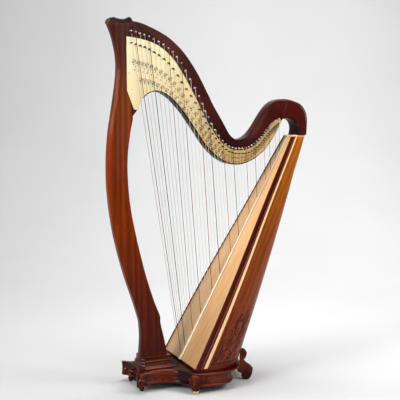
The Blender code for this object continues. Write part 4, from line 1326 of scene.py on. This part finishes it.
def carve_side(shape, side, volutes, lobes, width, curl):
    """Volutes and lobes laid on the base's side."""
    for x, z, size, hand in volutes:
        p, along, out = side_frame(x, side)
        spiral_bead(shape, p + UP * z, along, out, size, 1.3, 0.0024, hand=hand)
    for x, z, angle, size in lobes:
        p, along, out = side_frame(x, side)
        heading = along * math.cos(angle) + UP * math.sin(angle)
        leaf_bead(shape, p + UP * z, heading, out, size, width, curl)


def build_rear_feet():
    for place, side in SIDES:
        away = Vector((0.866, side * 0.5, 0))
        across = Vector((-away.y, away.x, 0))
        origin = Vector((0.117, side * 0.098, 0))
        shape = Shape()
        scroll_slab(shape, REAR_SCROLL, lambda u, y, z: origin + away * u + across * y + UP * z,
                    0.0128)
        for face in (-across, across):
            for u, z, radius, turns, thick, start in ((0.0165, 0.1375, 0.0105, 1.4, 0.0023, 2.6),
                                                      (0.0370, 0.0330, 0.0175, 1.6, 0.0030, 0.6)):
                spiral_bead(shape, origin + away * u + UP * z + face * 0.0124, away, face, radius,
                            turns, thick, start, -1)
        shape.make(f"rear_scroll_foot_{place}", [FOOT_WOOD], "base_wood", f"foot_rear_{place}",
                   sharp=40)
        glide_cup(f"rear_{place}", origin + away * 0.030, 0.0100, 0.0062)


def build_middle_feet():
    for place, side in SIDES:
        centre = Vector((-0.187, side * 0.2280, 0))
        rings = []
        for z, rx, ry in smooth(MIDDLE_FOOT, 4):
            depth = 0.10 * min(1, max(0, z - 0.044) / 0.02)
            ring = []
            for k, (c, s) in enumerate(circle(48)):
                flute = 1 - depth * (0.5 - 0.5 * math.cos(16 * math.pi * k / 48))
                ring.append(centre + Vector((rx * flute * c, ry * flute * s, z)))
            rings.append(ring)
        shape = Shape()
        shape.loft(rings)
        carve_side(shape, side, MIDDLE_VOLUTES, MIDDLE_LOBES, 0.0058, 0.7)
        shape.make(f"middle_foot_{place}", [FOOT_WOOD], "base_wood", f"foot_middle_{place}",
                   sharp=45)
        glide_cup(f"middle_{place}", centre, 0.0155, 0.0150)


def build_front_feet():
    """Low bun feet under the front horns, and the balls, volutes and leaves carved above them."""
    for place, side in SIDES:
        centre = Vector((-0.416, side * 0.086, 0))
        bun, carving = Shape(), Shape()
        bun.turned(centre, UP, mm([(5.6, 9), (7.5, 12), (13, 13.8), (20, 13), (27, 11),
                                   (29, 11)]), 28)
        bun.make(f"front_foot_{place}", [FOOT_WOOD], "base_wood", f"foot_front_{place}")
        # The front glides are dark steel as painted shade, so that they read as the shadow under
        # the horns.
        glide_cup(f"front_{place}", centre, 0.0085, 0.0062, DARK_STEEL_AND_SHADE)
        tip = Vector((-0.4260, side * 0.1130, 0))
        out = Vector((-0.35, side * 0.94, 0)).normalized()
        along = Vector((0.94, side * 0.35, 0)).normalized()
        carving.loft([[tip + UP * z + along * r * c + out * r * 0.92 * s for c, s in circle(32)]
                      for z, r in smooth(HORN_BALL, 4)])
        spiral_bead(carving, tip + out * 0.0215 + UP * 0.052, along, out, 0.0135, 1.4, 0.0034, 0.5)
        spiral_bead(carving, tip + out * 0.0150 + UP * 0.085, along, out, 0.0080, 1.2, 0.0024,
                    2.2, -1)
        carve_side(carving, side, FRONT_VOLUTES, FRONT_LOBES, 0.0062, 0.6)
        carving.make(f"base_carving_{place}", [FOOT_WOOD], "base_wood", sharp=45)


def build_pedals():
    for letter, y, tip in PEDALS:
        name = f"pedal_{letter}"
        pivot = PEDAL_PIVOT + ALONG_Y * y
        shape = Shape()
        rings = []
        for u, lift, half in smooth([
                (-0.022, 0.0, 0.0085), (0.004, 0.0, 0.0092), (0.060, 0.0, 0.0078),
                (tip - 0.050, 0.002, 0.0072), (tip - 0.030, 0.002, 0.0062),
                (tip - 0.004, 0.0015, 0.0055)], 4):
            outline = rounded([(-0.0042, -half), (0.0042, -half), (0.0042, half), (-0.0042, half)],
                              0.0018)
            rings.append([pivot + Vector((u, a, lift + b)) for a, b in outline])
        shape.loft(rings)
        pad = [(tip - 0.040, 0.0088), (tip - 0.010, 0.0096), (tip + 0.001, 0.0075),
               (tip + 0.0042, 0.0030)]
        pad = rounded(mirrored(pad), 0.0020)
        for mat, levels in enumerate((
                mm([(-5.8, 1.2), (-4.8, 0), (1.8, 0), (3.0, 1.0)]),
                mm([(2.8, 1.6), (6.4, 0.8), (7.8, 2.2)]))):
            shape.loft([[pivot + Vector((u, w, z)) for u, w in drawn_in(pad, -inset)]
                        for z, inset in levels], mat)
        shape.make(f"{name}_cast", [BRASS, FELT], "brass", name, body=name, sharp=40)


# ---------------------------------------------------------------- studio

VIEW_PITCH, VIEW_TURN = math.radians(84.30), math.radians(-23.2)
CAMERA_PLACE, LENS, SENSOR_WIDTH = (-1.7489, -3.925, 1.353), 75.9, 36.0
SWEEP_START, SWEEP_RADIUS, SWEEP_TOP, SWEEP_HALF, SWEEP_FRONT = 2.2, 4.0, 9.0, 16.0, -16.0
# The paper is darker to the left: painted shade on the backdrop.
PAPER = (0.455, 0.59)  # how pale the paper is, from left to right
WORLD_LEVEL = 0.30
SOFTBOXES = [  # name, place, aim, size, power
    ("key", (2.9, -2.4, 3.6), (0, 0, 0.7), (1.8, 1.8), 130),
    ("left", (-4.2, -1.2, 3.0), (0, 0, 0.8), (1.6, 2.2), 190),
    ("top", (0.3, 0.4, 4.2), (0, 0, 0.6), (2.6, 2.0), 120),
    ("panel", (1.30, -4.6, 1.75), (-0.1, 0, 1.2), (1.4, 1.6), 16),
    ("paper_wash", (0.4, 1.2, 4.6), (2.2, 5.6, 2.2), (3.0, 1.0), 215),
]


def studio_paper():
    paint = Paint("studio_paper")
    place = paint.coords(turn=(0, 0, -VIEW_TURN))
    soft = paint.noise(place, 0.9, 2, 0.5)
    across = paint.node("SeparateXYZ", {0: place})
    # Paler to the right, darker to the left: painted shade across the backdrop.
    pale = paint.maths("ADD", paint.spread(across, -1.6, 1.6, *PAPER),
                       paint.spread(soft, *CLOUD, -0.012, 0.012))
    paint.link("Base Color", paint.node("CombineColor", {0: pale, 1: pale, 2: pale}))
    paint.link("Roughness", paint.spread(soft, *CLOUD, 0.62, 0.72))
    return paint.material


def build_sweep():
    """A seamless pale floor that curves up behind the harp, square to the camera."""
    profile = [(depth, 0.0) for depth in (SWEEP_FRONT, -4.0, -1.5, 0.0, SWEEP_START)]
    for t in (0.5 * math.pi * k / 24 for k in range(1, 25)):
        profile.append((SWEEP_START + SWEEP_RADIUS * math.sin(t),
                        SWEEP_RADIUS * (1 - math.cos(t))))
    profile.append((SWEEP_START + SWEEP_RADIUS, SWEEP_TOP))
    turn = Matrix.Rotation(VIEW_TURN, 3, "Z")
    across = np.linspace(-SWEEP_HALF, SWEEP_HALF, 13)
    wide = len(across)
    points = [tuple(turn @ Vector((a, depth, z - 0.0002))) for depth, z in profile for a in across]
    faces = [(a, a + 1, a + wide + 1, a + wide)
             for a in (r * wide + c for r in range(len(profile) - 1) for c in range(wide - 1))]
    mesh = bpy.data.meshes.new("studio_sweep")
    mesh.from_pydata(points, [], faces)
    for face in mesh.polygons:
        face.use_smooth = True
    mesh.materials.append(studio_paper())
    linked("studio_sweep", mesh)


def build_studio():
    build_sweep()
    scene = bpy.context.scene
    scene.world = bpy.data.worlds.new("studio")
    scene.world.use_nodes = True
    background = scene.world.node_tree.nodes["Background"]
    background.inputs["Color"].default_value = (0.98, 0.99, 1.0, 1)
    background.inputs["Strength"].default_value = WORLD_LEVEL
    for name, place, aim, size, power in SOFTBOXES:
        light = bpy.data.lights.new(name, "AREA")
        light.shape = "RECTANGLE"
        light.size, light.size_y = size
        light.energy = power
        lamp = linked(name, light)
        lamp.location = place
        lamp.rotation_euler = (Vector(aim) - Vector(place)).to_track_quat("-Z", "Y").to_euler()
    camera = bpy.data.cameras.new("camera")
    camera.lens, camera.sensor_width = LENS, SENSOR_WIDTH
    rig = linked("camera", camera)
    rig.location = CAMERA_PLACE
    rig.rotation_euler = (VIEW_PITCH, 0, VIEW_TURN)
    scene.camera = rig
    scene.view_settings.view_transform = "Standard"


def finish_frame_nodes():
    """Better materials for the CAD nodes that still show."""
    for name, material in (("base_underplate", BASE_WOOD), ("body_riser", BASE_WOOD),
                           ("pedal_shaft", STEEL)):
        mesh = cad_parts[name].data
        mesh.materials.clear()
        mesh.materials.append(material)


def main():
    build_studio()
    build_column()
    build_cap()
    build_neck()
    build_collar()
    build_plates()
    build_pins()
    build_nuts()
    build_discs()
    build_strings()
    build_soundbox()
    for place, side in SIDES:
        carved_panel(f"carved_side_{place}", side)
    build_board()
    build_strips()
    build_base()
    build_plinth()
    build_rear_feet()
    build_middle_feet()
    build_front_feet()
    build_pedals()
    finish_frame_nodes()


main()
